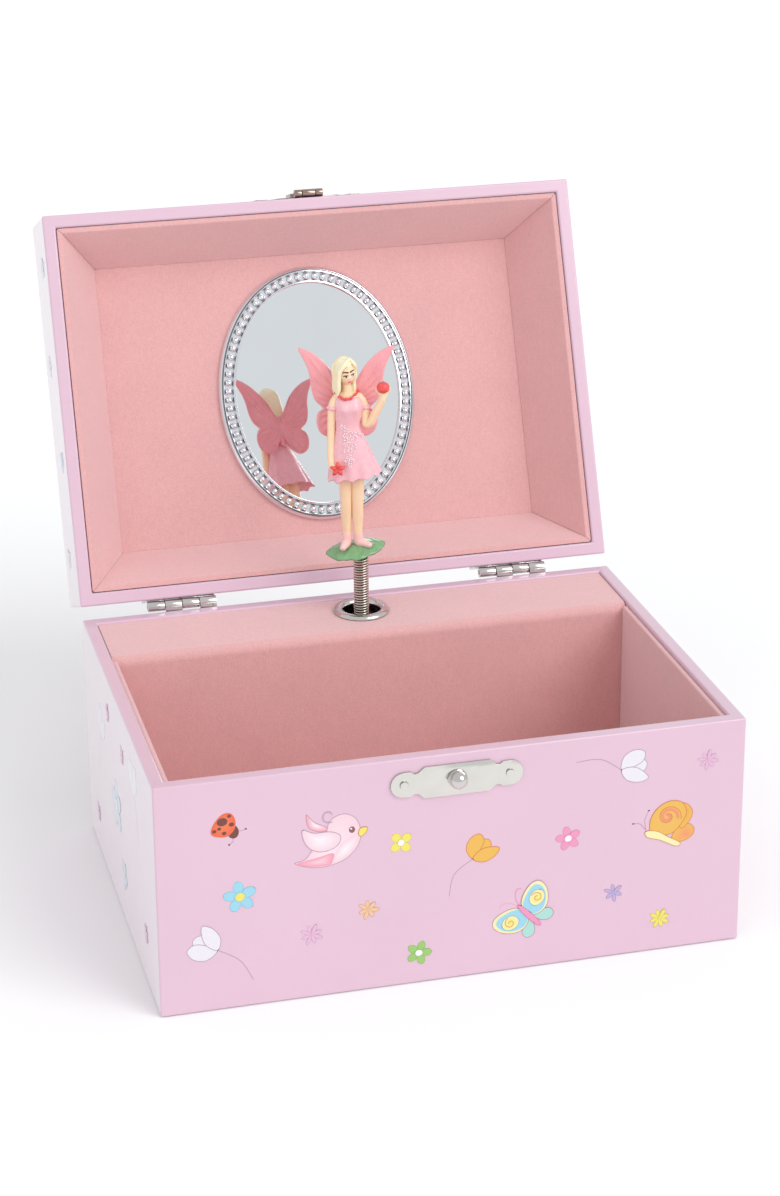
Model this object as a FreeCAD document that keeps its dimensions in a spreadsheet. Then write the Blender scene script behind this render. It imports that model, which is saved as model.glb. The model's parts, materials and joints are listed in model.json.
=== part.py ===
import FreeCAD, Part
import Sketcher
import math
import os
from types import SimpleNamespace

from FreeCAD import Placement, Rotation, Vector

# A child's musical jewellery box: paper-wrapped board box, lid leaning open on two
# butt hinges, and a fairy on a coil spring that turns with the movement in the ledge.
# Millimetres. The origin is the middle of the underside, +Z is up, the front faces -Y.

DRIVING = {
    # case and lid
    "box_width": 150, "box_depth": 107, "box_height": 62, "wall": 3.5,
    "bottom_thick": 3, "lid_height": 23.5, "lid_top_thick": 3, "rim_gap": 0.15,
    "lid_open_angle": 112,
    # velour lining
    "lining": 1.5, "floor_lining": 1.2, "lining_drop": 1, "slope_inset_x": 11.5,
    "slope_inset_y": 9.9, "recess_depth": 17.1, "slope_gap": 0.5,
    # ledge over the movement
    "ledge_depth": 24, "ledge_drop": 0.6, "ledge_board": 3.5, "ledge_round": 2.5,
    "figure_from_back": 9, "grommet_radius": 7.65, "grommet_bore": 5, "grommet_shank": 6.2,
    "grommet_rim": 1.3,
    # butt hinges
    "hinge_behind": 1.8, "hinge_above": 1, "knuckle_radius": 1.4, "knuckle_length": 4.6,
    "knuckle_gap": 0.2, "knuckle_count": 4, "hinge_offset": 47.2, "hinge_pin_radius": 0.6,
    "leaf_thick": 0.8, "leaf_reach": 10, "running_fit": 0.05, "hinge_nail_offset": 5.5,
    # nails
    "nail_radius": 0.5, "nail_head": 1, "nail_head_thick": 0.4, "nail_length": 3,
    # catch and hasp
    "plate_thick": 0.6, "plate_half": 16.75, "plate_mid_half": 8.2, "plate_rise": 4.15,
    "plate_lobe": 3.3, "plate_drop": 6.8, "plate_nail": 13.4, "knob_radius": 2.2,
    "hasp_barrel": 1.1, "hasp_pin_radius": 0.5, "hasp_axis_up": 1.9, "hasp_width": 9,
    "hasp_knuckle": 3.6, "hasp_side_knuckle": 2, "hasp_hole": 2.6, "hasp_swing": 176,
    "hasp_tail": 4.4,
    # mirror in the lid
    "mirror_half_x": 27.9, "mirror_half_y": 35.6, "glass_half_x": 23.2, "glass_half_y": 31.2,
    "frame_thick": 2.2, "glass_thick": 1.2, "rabbet": 0.8,
    # spring, leaf and figure
    "spring_radius": 2.1, "spring_bore": 1.5, "spring_foot": 59.5, "spring_bend": 68.5,
    "spring_top": 76.2, "bend_ease": 0.1, "leaf_half_long": 8.25, "leaf_half_wide": 5.5,
    "leaf_off_axis": 1.7, "leaf_dome": 4.4, "figure_off_axis": 2.6,
    "figure_yaw": -10, "wing_thick": 0.9,
    # movement
    "key_height": 19, "bed_thick": 2, "bed_width": 46, "bed_height": 52, "bed_foot": 4.5,
    "arbor_radius": 2, "housing_radius": 10.5, "housing_depth": 7.5, "sheet_metal": 0.6,
    "crown_teeth": 48, "crown_radius": 12.5, "crown_face": 1.6, "crown_thick": 1.3,
    "pinion_teeth": 12, "pinion_width": 2.2, "cylinder_radius": 6.5, "cylinder_foot": 35.5,
    "cylinder_length": 17, "axle_radius": 1, "axle_foot": 29.8, "take_teeth": 32,
    "idler_teeth": 10, "idler_axle": 0.6, "wheel_thick": 1.2, "gear_module": 0.4,
    "worm_teeth": 20, "worm_radius": 1.6, "worm_wheel_thick": 1.4, "worm_pivot": 0.5,
    "fan_span": 9, "fan_chord": 3, "fan_thick": 0.5, "bracket_thick": 1.2,
    "comb_thick": 0.8, "comb_teeth": 18, "comb_length": 16, "comb_foot": 36.5,
    "comb_slot": 0.22, "comb_screw_radius": 0.9, "stop_radius": 0.5,
    # winding key
    "key_hub": 3, "key_hub_length": 6.5, "key_half": 12, "key_lobe": 5.5, "key_thick": 1.6,
    "key_eye": 2.6,
}

doc = FreeCAD.newDocument("jewellery_box")
sheet = doc.addObject("Spreadsheet::Sheet", "dims")
for row, (alias, number) in enumerate(DRIVING.items(), start=1):
    sheet.set(f"A{row}", alias)
    sheet.set(f"B{row}", str(number))
    sheet.setAlias(f"B{row}", alias)
doc.recompute()
d = SimpleNamespace(**{alias: float(sheet.get(alias)) for alias in DRIVING})

subparts = []

# Places worked out from the driving dimensions
half_w = d.box_width / 2
half_d = d.box_depth / 2
inner_x = half_w - d.wall
inner_y = half_d - d.wall
hinge_y = half_d + d.hinge_behind
hinge_z = d.box_height + d.hinge_above
lid_rim = d.box_height + d.rim_gap
lid_top = lid_rim + d.lid_height
recess_z = lid_rim + d.recess_depth
ledge_front = inner_y - d.ledge_depth
ledge_top = d.box_height - d.ledge_drop
ledge_under = ledge_top - d.ledge_board
figure_y = inner_y - d.figure_from_back
floor_top = d.bottom_thick + d.floor_lining
lining_top = d.box_height - d.lining_drop
plate_z = d.box_height - d.plate_drop
bed_face = inner_y - d.bed_thick
hinge_length = d.knuckle_count * d.knuckle_length + (d.knuckle_count - 1) * d.knuckle_gap
stop_x = 2.1
stop_y = inner_y - 0.8
comb_screw_x = 21.5
comb_screw_z = (40.5, 48.5)
bed_screw_places = [(-14, 9), (-14, 52), (24, 30)]

X_AXIS = Vector(1, 0, 0)
Y_AXIS = Vector(0, 1, 0)
Z_AXIS = Vector(0, 0, 1)

# The lid is drawn shut and then turned back about the hinge pins
lid_turn = (Placement(Vector(0, hinge_y, hinge_z), Rotation(X_AXIS, -d.lid_open_angle))
            * Placement(Vector(0, -hinge_y, -hinge_z), Rotation()))


# ---------------------------------------------------------------- helpers

def bind(obj, **expressions):
    """Ties properties of an object to cells of the sheet."""
    for name, expression in expressions.items():
        obj.setExpression(name, expression)


def keep(obj, label):
    """Makes an object one of the sub-parts that are written out."""
    obj.Label = label
    subparts.append(obj)
    return obj


def block(name, length, width, height, corner):
    """A board whose three sizes are expressions, with its lowest corner at corner."""
    board = doc.addObject("Part::Box", name)
    bind(board, Length=length, Width=width, Height=height)
    board.Placement.Base = Vector(*corner)
    return board


def rod(name, radius, length, foot, axis=Z_AXIS):
    """A round bar from foot along axis."""
    bar = doc.addObject("Part::Cylinder", name)
    bind(bar, Radius=radius, Height=length)
    bar.Placement = Placement(Vector(*foot), Rotation(Z_AXIS, axis))
    return bar


def cone(name, foot_radius, top_radius, foot, top):
    """A tapered limb between two points."""
    start = Vector(*foot)
    run = Vector(*top) - start
    limb = doc.addObject("Part::Cone", name)
    limb.Radius1 = foot_radius
    limb.Radius2 = top_radius
    limb.Height = run.Length
    limb.Placement = Placement(start, Rotation(Z_AXIS, run))
    return limb


def ball(name, radius, centre):
    round_part = doc.addObject("Part::Sphere", name)
    round_part.Radius = radius
    round_part.Placement.Base = Vector(*centre)
    return round_part


def join(name, pieces):
    fused = doc.addObject("Part::MultiFuse", name)
    fused.Shapes = pieces
    return fused


def cut(name, base, tool):
    result = doc.addObject("Part::Cut", name)
    result.Base = base
    result.Tool = tool
    return result


def drill(name, base, holes):
    """Cuts a list of bars out of a base."""
    tool = holes[0] if len(holes) == 1 else join(name + "_holes", holes)
    return cut(name, base, tool)


def shaped(name, shape):
    feature = doc.addObject("Part::Feature", name)
    feature.Shape = shape
    return feature


def new_body(name):
    return doc.addObject("PartDesign::Body", name)


def origin_feature(body, role):
    return next(item for item in body.Origin.OriginFeatures if item.Role == role)


def sketch_on(body, role, name):
    sketch = body.newObject("Sketcher::SketchObject", name)
    sketch.AttachmentSupport = [(origin_feature(body, role), "")]
    sketch.MapMode = "FlatFace"
    return sketch


def outline(sketch, points):
    """A closed run of straight lines, each end tied to the next start."""
    first = sketch.GeometryCount
    corners = [Vector(x, y, 0) for x, y in points]
    for start, end in zip(corners, corners[1:] + corners[:1]):
        sketch.addGeometry(Part.LineSegment(start, end), False)
    for index in range(len(corners)):
        following = first + (index + 1) % len(corners)
        sketch.addConstraint(Sketcher.Constraint("Coincident", first + index, 2, following, 1))


def ring(sketch, radius, name):
    """A circle about the sketch's origin whose radius is an expression."""
    circle = sketch.addGeometry(Part.Circle(Vector(), Vector(0, 0, 1), 1), False)
    sketch.addConstraint(Sketcher.Constraint("Coincident", circle, 3, -1, 1))
    index = sketch.addConstraint(Sketcher.Constraint("Radius", circle, 1))
    sketch.renameConstraint(index, name)
    sketch.setExpression("Constraints." + name, radius)


def pad(body, sketch, length, backwards=False, both_ways=False):
    feature = body.newObject("PartDesign::Pad", sketch.Name + "_pad")
    feature.Profile = sketch
    bind(feature, Length=length)
    feature.Reversed = backwards
    feature.Midplane = both_ways
    sketch.Visibility = False
    return feature


def revolve(body, sketch, role):
    feature = body.newObject("PartDesign::Revolution", sketch.Name + "_turned")
    feature.Profile = sketch
    feature.ReferenceAxis = (origin_feature(body, role), [""])
    feature.Angle = 360
    return feature


def around(body, feature, role, count):
    """Repeats one feature evenly about an axis of the body."""
    pattern = body.newObject("PartDesign::PolarPattern", feature.Name + "_around")
    pattern.Originals = [feature]
    pattern.Axis = (origin_feature(body, role), [""])
    pattern.Angle = 360
    bind(pattern, Occurrences=count)
    body.Tip = pattern
    return pattern


def on_lid(obj):
    """Carries a piece drawn with the lid shut to the open lid."""
    obj.Placement = lid_turn * obj.Placement
    return obj


def nail(name, point, inward, length):
    """A domed nail: a shank along inward and a flat head outside point."""
    start = Vector(*point)
    shank = rod(name + "_shank", "dims.nail_radius", length, start, inward)
    head = rod(name + "_head", "dims.nail_head", "dims.nail_head_thick",
               start - inward * d.nail_head_thick, inward)
    return join(name, [shank, head])


def nail_hole(name, point, inward, length):
    return rod(name, "dims.nail_radius", length, point, inward)


# ---------------------------------------------------------------- case

hinge_nail_x = [side * d.hinge_offset + shift for side in (-1, 1)
                for shift in (-d.hinge_nail_offset, d.hinge_nail_offset)]
box_nail_z = hinge_z - 0.62 * d.leaf_reach
lid_nail_z = hinge_z + 0.62 * d.leaf_reach
box_nails = []
lid_nails = []


def case_panels():
    front = block("front_board", "dims.box_width", "dims.wall", "dims.box_height",
                  (-half_w, -half_d, 0))
    holes = [nail_hole(f"catch_hole_{x:.0f}", (x, -half_d, plate_z), Y_AXIS, "dims.nail_length")
             for x in (-d.plate_nail, 0, d.plate_nail)]
    keep(drill("front_drilled", front, holes), "box_front")

    back = block("back_board", "dims.box_width", "dims.wall", "dims.box_height",
                 (-half_w, inner_y, 0))
    holes = [nail_hole(f"back_hole_{x:.0f}", (x, half_d, box_nail_z), -Y_AXIS,
                       "dims.nail_length") for x in hinge_nail_x]
    holes.append(rod("key_hole", "dims.arbor_radius + 0.6", "dims.wall + 2",
                     (0, inner_y - 1, d.key_height), Y_AXIS))
    holes += [rod(f"bed_hole_{z}", "dims.axle_radius", "dims.wall + 2", (x, inner_y - 1, z), Y_AXIS)
              for x, z in bed_screw_places]
    keep(drill("back_drilled", back, holes), "box_back")

    for side, label in ((-half_w, "box_left"), (inner_x, "box_right")):
        keep(block(label + "_board", "dims.wall", "dims.box_depth - 2 * dims.wall",
                   "dims.box_height", (side, -inner_y, 0)), label)
    keep(block("bottom_board", "dims.box_width - 2 * dims.wall",
               "dims.box_depth - 2 * dims.wall", "dims.bottom_thick",
               (-inner_x, -inner_y, 0)), "box_bottom")


def case_linings():
    run = "dims.box_depth - 2 * dims.wall - dims.ledge_depth"
    rise = "dims.box_height - dims.lining_drop - dims.bottom_thick - dims.floor_lining"
    keep(block("floor_card", "dims.box_width - 2 * dims.wall", run, "dims.floor_lining",
               (-inner_x, -inner_y, d.bottom_thick)), "floor_lining")
    keep(block("front_card", "dims.box_width - 2 * dims.wall", "dims.lining", rise,
               (-inner_x, -inner_y, floor_top)), "front_lining")
    for side, label in ((-inner_x, "left_lining"), (inner_x - d.lining, "right_lining")):
        keep(block(label + "_card", "dims.lining", run + " - dims.lining", rise,
                   (side, -inner_y + d.lining, floor_top)), label)


def music_ledge():
    """The L-shaped cover of the movement, with its front edge rounded over."""
    body = new_body("ledge_body")
    profile = sketch_on(body, "YZ_Plane", "ledge_profile")
    board = d.ledge_board
    outline(profile, [
        (ledge_front, d.bottom_thick), (ledge_front + board, d.bottom_thick),
        (ledge_front + board, ledge_under), (inner_y, ledge_under), (inner_y, ledge_top),
        (ledge_front + d.ledge_round, ledge_top),
        (ledge_front + 0.3 * d.ledge_round, ledge_top - 0.3 * d.ledge_round),
        (ledge_front, ledge_top - d.ledge_round)])
    pad(body, profile, "dims.box_width - 2 * dims.wall", both_ways=True)
    doc.recompute()
    holes = [rod("grommet_seat", "dims.grommet_shank", "dims.ledge_board + 2",
                 (0, figure_y, ledge_under - 1)),
             rod("stop_hole", "dims.stop_radius + dims.running_fit", "dims.ledge_board + 2",
                 (stop_x, stop_y, ledge_under - 1))]
    keep(drill("ledge_drilled", body, holes), "music_ledge")


def ledge_grommet():
    """A polished eyelet with a rolled rim; its bore lets the spring lean over."""
    body = new_body("grommet_body")
    section = sketch_on(body, "XZ_Plane", "grommet_section")
    bore, rim, shank = d.grommet_bore, d.grommet_radius, d.grommet_shank
    crown = d.grommet_rim
    rise = [(rim - 0.25, 0.55 * crown), (rim - 0.8, 0.9 * crown), (0.5 * (rim + bore), crown),
            (bore + 0.5, 0.85 * crown), (bore + 0.1, 0.4 * crown)]
    outline(section, [(bore, -d.ledge_board), (shank, -d.ledge_board), (shank, 0),
                      (rim, 0), *rise])
    revolve(body, section, "Z_Axis")
    body.Placement.Base = Vector(0, figure_y, ledge_top)
    keep(body, "ledge_grommet")


# ---------------------------------------------------------------- hinges

def knuckle_starts(offset):
    first = offset - hinge_length / 2
    return [first + index * (d.knuckle_length + d.knuckle_gap)
            for index in range(int(d.knuckle_count))]


def hinge_leaf(name, offset, upward, bore):
    """One leaf: a flat plate, two tabs and two knuckles; upward is 1 on the lid, -1 on the box."""
    starts = knuckle_starts(offset)[0::2] if upward > 0 else knuckle_starts(offset)[1::2]
    clear = d.knuckle_radius + d.knuckle_gap
    plate_low = hinge_z + clear if upward > 0 else hinge_z - d.leaf_reach
    plate = block(name + "_plate", f"{hinge_length}", "dims.leaf_thick",
                  f"dims.leaf_reach - {clear}", (offset - hinge_length / 2, half_d, plate_low))
    tab_low = hinge_z if upward > 0 else hinge_z - clear
    pieces = [plate]
    for index, start in enumerate(starts):
        pieces.append(block(f"{name}_tab_{index}", "dims.knuckle_length", "dims.leaf_thick",
                            f"{clear}", (start, half_d, tab_low)))
        pieces.append(rod(f"{name}_knuckle_{index}", "dims.knuckle_radius",
                          "dims.knuckle_length", (start, hinge_y, hinge_z), X_AXIS))
    nail_z = lid_nail_z if upward > 0 else box_nail_z
    holes = [rod(name + "_bore", bore, f"{hinge_length} + 2",
                 (offset - hinge_length / 2 - 1, hinge_y, hinge_z), X_AXIS)]
    for index, shift in enumerate((-d.hinge_nail_offset, d.hinge_nail_offset)):
        holes.append(nail_hole(f"{name}_nail_{index}", (offset + shift, half_d - 1, nail_z),
                               Y_AXIS, "dims.leaf_thick + 2"))
    return drill(name + "_bored", join(name + "_solid", pieces), holes)


def hinges():
    pins = []
    for offset, side in ((-d.hinge_offset, "left"), (d.hinge_offset, "right")):
        keep(hinge_leaf(f"case_leaf_{side}", offset, -1, "dims.hinge_pin_radius"),
             f"hinge_leaf_box_{side}")
        leaf = hinge_leaf(f"cover_leaf_{side}", offset, 1,
                          "dims.hinge_pin_radius + dims.running_fit")
        keep(on_lid(leaf), f"hinge_leaf_lid_{side}")
        pins.append(rod(f"hinge_pin_{side}", "dims.hinge_pin_radius", f"{hinge_length}",
                        (offset - hinge_length / 2, hinge_y, hinge_z), X_AXIS))
    keep(gather("pin_group", pins), "hinge_pins")

    outside = half_d + d.leaf_thick
    reach = "dims.nail_length + dims.leaf_thick"
    for index, x in enumerate(hinge_nail_x):
        box_nails.append(nail(f"case_nail_{index}", (x, outside, box_nail_z), -Y_AXIS, reach))
        lid_nails.append(nail(f"cover_nail_{index}", (x, outside, lid_nail_z), -Y_AXIS, reach))


def gather(name, pieces):
    """Loose identical pieces that share one node."""
    group = doc.addObject("Part::Compound", name)
    group.Links = pieces
    return group


# ---------------------------------------------------------------- catch and hasp

hasp_y = -half_d - d.plate_thick - 0.8
hasp_z = lid_rim + d.hasp_axis_up


def plate_points():
    """The lobed outline of both latch plates, about their middle."""
    neck = d.plate_mid_half + 0.42 * (d.plate_rise - 0.8)
    lobe = d.plate_lobe
    half = [(d.plate_mid_half, d.plate_rise), (neck + 0.3, 0.66 * d.plate_rise),
            (neck + 1.2, 0.64 * d.plate_rise), (neck + 2.1, lobe)]
    swing = d.plate_half - lobe
    half += [(swing + lobe * math.sin(math.radians(turn)), lobe * math.cos(math.radians(turn)))
             for turn in range(0, 181, 20)]
    half += [(neck + 2.1, -lobe), (neck + 1.2, -0.64 * d.plate_rise),
             (neck + 0.3, -0.66 * d.plate_rise), (d.plate_mid_half, -d.plate_rise)]
    return half + [(-x, -y) for x, y in half]


def latch_plate(name):
    body = new_body(name)
    face = sketch_on(body, "XZ_Plane", name + "_face")
    outline(face, plate_points())
    pad(body, face, "dims.plate_thick")
    return body


def catch():
    body = latch_plate("catch_sheet")
    body.Placement.Base = Vector(0, -half_d, plate_z)
    holes = [nail_hole(f"catch_bore_{x:.0f}", (x, -half_d - 1, plate_z), Y_AXIS, "2")
             for x in (-d.plate_nail, 0, d.plate_nail)]
    keep(drill("catch_bored", body, holes), "catch_plate")

    outside = -half_d - d.plate_thick
    neck = rod("knob_neck", "dims.knob_radius * 0.55", "1.2", (0, outside, plate_z), -Y_AXIS)
    stem = rod("knob_stem", "dims.nail_radius", "dims.nail_length + dims.plate_thick",
               (0, outside, plate_z), Y_AXIS)
    ball = doc.addObject("Part::Sphere", "knob_ball")
    bind(ball, Radius="dims.knob_radius")
    ball.Placement.Base = Vector(0, outside - d.knob_radius - 0.3, plate_z)
    keep(join("knob_solid", [neck, stem, ball]), "catch_knob")

    for x in (-d.plate_nail, d.plate_nail):
        box_nails.append(nail(f"catch_nail_{x:.0f}", (x, outside, plate_z), Y_AXIS,
                              "dims.nail_length + dims.plate_thick"))


def hasp():
    """The lid's plate with its knuckles, and the tongue that drops over the knob."""
    plate_mid = lid_rim + d.plate_rise + 3.1
    sheet_body = latch_plate("hasp_sheet")
    sheet_body.Placement.Base = Vector(0, -half_d, plate_mid)
    half_tongue = d.hasp_knuckle / 2
    barrels = []
    for side in (-1, 1):
        start = half_tongue + d.knuckle_gap if side > 0 else \
            -half_tongue - d.knuckle_gap - d.hasp_side_knuckle
        barrels.append(rod(f"hasp_plate_barrel_{side}", "dims.hasp_barrel",
                           "dims.hasp_side_knuckle", (start, hasp_y, hasp_z), X_AXIS))
        barrels.append(block(f"hasp_plate_strap_{side}", "dims.hasp_side_knuckle",
                             "dims.plate_thick", f"{plate_mid - d.plate_rise + 1 - hasp_z}",
                             (start, -half_d - d.plate_thick, hasp_z)))
    pin_length = d.hasp_knuckle + 2 * (d.knuckle_gap + d.hasp_side_knuckle)
    pin_start = (-pin_length / 2, hasp_y, hasp_z)
    bores = [rod("hasp_plate_bore", "dims.hasp_pin_radius", f"{pin_length} + 2",
                 (-pin_length / 2 - 1, hasp_y, hasp_z), X_AXIS)]
    bores += [nail_hole(f"hasp_bore_{x:.0f}", (x, -half_d - 1, plate_mid), Y_AXIS, "2")
              for x in (-d.plate_nail, d.plate_nail)]
    plate = drill("hasp_plate_bored", join("hasp_plate_solid", [sheet_body, *barrels]), bores)
    keep(on_lid(plate), "hasp_plate")
    keep(on_lid(rod("hasp_rivet", "dims.hasp_pin_radius", f"{pin_length}", pin_start, X_AXIS)),
         "hasp_pin")
    for x in (-d.plate_nail, d.plate_nail):
        lid_nails.append(nail(f"hasp_nail_{x:.0f}", (x, -half_d - d.plate_thick, plate_mid),
                              Y_AXIS, "dims.nail_length + dims.plate_thick"))
    hasp_tongue()
    return plate_mid


def hasp_tongue():
    """Drawn hanging over the knob, then folded up against the lid's front."""
    reach = hasp_z - plate_z
    half = d.hasp_width / 2
    body = new_body("tongue_body")
    face = sketch_on(body, "XZ_Plane", "tongue_face")
    shoulder = -d.hasp_barrel - 1.2
    round_end = [(half * math.cos(math.radians(turn)),
                  -reach - d.hasp_tail * math.sin(math.radians(turn)))
                 for turn in range(0, 181, 20)]
    knuckle_half = d.hasp_knuckle / 2
    outline(face, [(knuckle_half, 0), (knuckle_half, -d.hasp_barrel), (half, shoulder - 0.8),
                   *round_end, (-half, shoulder - 0.8), (-knuckle_half, -d.hasp_barrel),
                   (-knuckle_half, 0)])
    pad(body, face, "dims.plate_thick", both_ways=True)
    body.Placement.Base = Vector(0, hasp_y, hasp_z)
    barrel = rod("tongue_barrel", "dims.hasp_barrel", "dims.hasp_knuckle",
                 (-knuckle_half, hasp_y, hasp_z), X_AXIS)
    lip = rod("tongue_lip", "0.7", "5", (-2.5, hasp_y - 0.5, hasp_z - reach - d.hasp_tail + 0.4),
              X_AXIS)
    holes = [rod("tongue_bore", "dims.hasp_pin_radius + dims.running_fit", "dims.hasp_knuckle + 2",
                 (-knuckle_half - 1, hasp_y, hasp_z), X_AXIS),
             rod("tongue_eye", "dims.hasp_hole", "dims.plate_thick + 2",
                 (0, hasp_y - 1.3, plate_z), Y_AXIS)]
    tongue = drill("tongue_bored", join("tongue_solid", [body, barrel, lip]), holes)
    fold = (Placement(Vector(0, hasp_y, hasp_z), Rotation(X_AXIS, -d.hasp_swing))
            * Placement(Vector(0, -hasp_y, -hasp_z), Rotation()))
    tongue.Placement = fold
    keep(on_lid(tongue), "hasp")


# ---------------------------------------------------------------- lid

def lid_panels(plate_mid):
    rise = "dims.lid_height - dims.lid_top_thick"
    front = block("cover_front_board", "dims.box_width", "dims.wall", rise,
                  (-half_w, -half_d, lid_rim))
    holes = [nail_hole(f"cover_front_hole_{x:.0f}", (x, -half_d, plate_mid), Y_AXIS,
                       "dims.nail_length") for x in (-d.plate_nail, d.plate_nail)]
    keep(on_lid(drill("cover_front_drilled", front, holes)), "lid_front")
    back = block("cover_back_board", "dims.box_width", "dims.wall", rise,
                 (-half_w, inner_y, lid_rim))
    holes = [nail_hole(f"cover_back_hole_{x:.0f}", (x, half_d, lid_nail_z), -Y_AXIS,
                       "dims.nail_length") for x in hinge_nail_x]
    keep(on_lid(drill("cover_back_drilled", back, holes)), "lid_back")
    for side, label in ((-half_w, "lid_left"), (inner_x, "lid_right")):
        keep(on_lid(block(label + "_board", "dims.wall", "dims.box_depth - 2 * dims.wall", rise,
                          (side, -inner_y, lid_rim))), label)
    keep(on_lid(block("cover_top_board", "dims.box_width", "dims.box_depth",
                      "dims.lid_top_thick", (-half_w, -half_d, lid_top - d.lid_top_thick))),
         "lid_top")


def tray(name, shrink):
    """A tapered block: the room inside the lid between the rim and the middle panel."""
    rim_x = inner_x - d.slope_gap - shrink
    rim_y = inner_y - d.slope_gap - shrink
    top_x = inner_x - d.slope_inset_x - shrink
    top_y = inner_y - d.slope_inset_y - shrink
    low = lid_rim + d.slope_gap
    rows = [[Vector(-x, -y, z), Vector(x, -y, z), Vector(x, y, z), Vector(-x, y, z)]
            for x, y, z in ((rim_x, rim_y, low), (top_x, top_y, recess_z))]
    return rows


def slope_board(label, first, second):
    """One mitred lining board between two corners of the lid's sloped tray."""
    corners = []
    for shrink in (0.0, d.lining):
        lower, upper = tray(label, shrink)
        corners.append([lower[first], lower[second], upper[second], upper[first]])
    outer, inner = corners
    faces = [outer, inner]
    for index in range(4):
        after = (index + 1) % 4
        faces.append([outer[index], outer[after], inner[after], inner[index]])
    shells = [Part.Face(Part.makePolygon(face + face[:1])) for face in faces]
    solid = Part.makeSolid(Part.makeShell(shells))
    if solid.Volume < 0:
        solid.reverse()
    keep(on_lid(shaped(label + "_board", solid)), label)


def lid_linings():
    names = ("lid_lining_front", "lid_lining_right", "lid_lining_back", "lid_lining_left")
    for index, label in enumerate(names):
        slope_board(label, index, (index + 1) % 4)
    keep(on_lid(block("cover_pad", "dims.box_width - 2 * dims.wall - 2 * dims.slope_inset_x",
                      "dims.box_depth - 2 * dims.wall - 2 * dims.slope_inset_y",
                      "dims.lid_height - dims.lid_top_thick - dims.recess_depth",
                      (-inner_x + d.slope_inset_x, -inner_y + d.slope_inset_y, recess_z))),
         "lid_lining_panel")


def oval_prism(name, half_x, half_y, low, height):
    """An upright oval block; half_y is the longer half-axis."""
    oval = doc.addObject("Part::Ellipse", name + "_edge")
    bind(oval, MajorRadius=half_y, MinorRadius=half_x)
    prism = doc.addObject("Part::Extrusion", name)
    prism.Base = oval
    prism.DirMode = "Normal"
    bind(prism, LengthFwd=height)
    prism.Solid = True
    prism.Placement = Placement(Vector(0, 0, low), Rotation(Z_AXIS, 90))
    return prism


def mirror():
    """An oval glass held to the lid's middle panel by a bead-edged plastic frame."""
    face = recess_z - d.frame_thick
    glass_face = recess_z - d.glass_thick
    rim = oval_prism("frame_block", "dims.mirror_half_x", "dims.mirror_half_y", face,
                     "dims.frame_thick")
    sight = oval_prism("frame_sight", "dims.glass_half_x", "dims.glass_half_y", face - 1,
                       "dims.frame_thick + 2")
    seat = oval_prism("frame_seat", "dims.glass_half_x + dims.rabbet",
                      "dims.glass_half_y + dims.rabbet", glass_face, "dims.glass_thick + 1")
    keep(on_lid(drill("frame_cut", rim, [sight, seat])), "mirror_frame")
    keep(on_lid(oval_prism("glass_block", "dims.glass_half_x + dims.rabbet",
                           "dims.glass_half_y + dims.rabbet", glass_face, "dims.glass_thick")),
         "mirror_glass")


# ---------------------------------------------------------------- spring and figure

def spring():
    """The close-wound spring, as the tubes below and above the place where it bends."""
    lower = cut("spring_foot_tube",
                rod("spring_foot_bar", "dims.spring_radius",
                    "dims.spring_bend - dims.spring_foot - dims.bend_ease",
                    (0, figure_y, d.spring_foot)),
                rod("spring_foot_bore", "dims.spring_bore", "20",
                    (0, figure_y, d.spring_foot - 1)))
    keep(lower, "figure_spring_lower")
    upper = cut("spring_head_tube",
                rod("spring_head_bar", "dims.spring_radius", "dims.spring_top - dims.spring_bend",
                    (0, figure_y, d.spring_bend)),
                rod("spring_head_bore", "dims.spring_bore", "20",
                    (0, figure_y, d.spring_bend - 1)))
    keep(upper, "figure_spring_upper")


def leaf():
    """The domed pointed leaf that the figure stands on, with its stem in the spring."""
    long, wide = d.leaf_half_long, d.leaf_half_wide
    sweep = (long ** 2 + wide ** 2) / (2 * wide)
    middle = sweep - wide
    halves = []
    for side, shift in (("near", middle), ("far", -middle)):
        halves.append(rod(f"leaf_{side}", f"{sweep}", "dims.leaf_dome",
                          (-d.leaf_off_axis, figure_y + shift, d.spring_top)))
    lens = doc.addObject("Part::MultiCommon", "leaf_lens")
    cap = (long ** 2 + d.leaf_dome ** 2) / (2 * d.leaf_dome)
    dome = ball("leaf_dome_cap", cap, (-d.leaf_off_axis, figure_y,
                                       d.spring_top + d.leaf_dome - cap))
    lens.Shapes = [*halves, dome]
    stem = rod("leaf_stem", "dims.spring_bore - dims.running_fit", "3.2",
               (0, figure_y, d.spring_top - 3))
    perch = keep(join("leaf_solid", [lens, stem]), "leaf_base")
    return perch, d.spring_top + d.leaf_dome


def about_figure(points):
    """Turns points given from the figure's middle into the box's frame."""
    yaw = math.radians(d.figure_yaw)
    placed = []
    for x, y, z in points:
        placed.append((x * math.cos(yaw) - y * math.sin(yaw) - d.figure_off_axis,
                       x * math.sin(yaw) + y * math.cos(yaw) + figure_y, z))
    return placed


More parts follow.
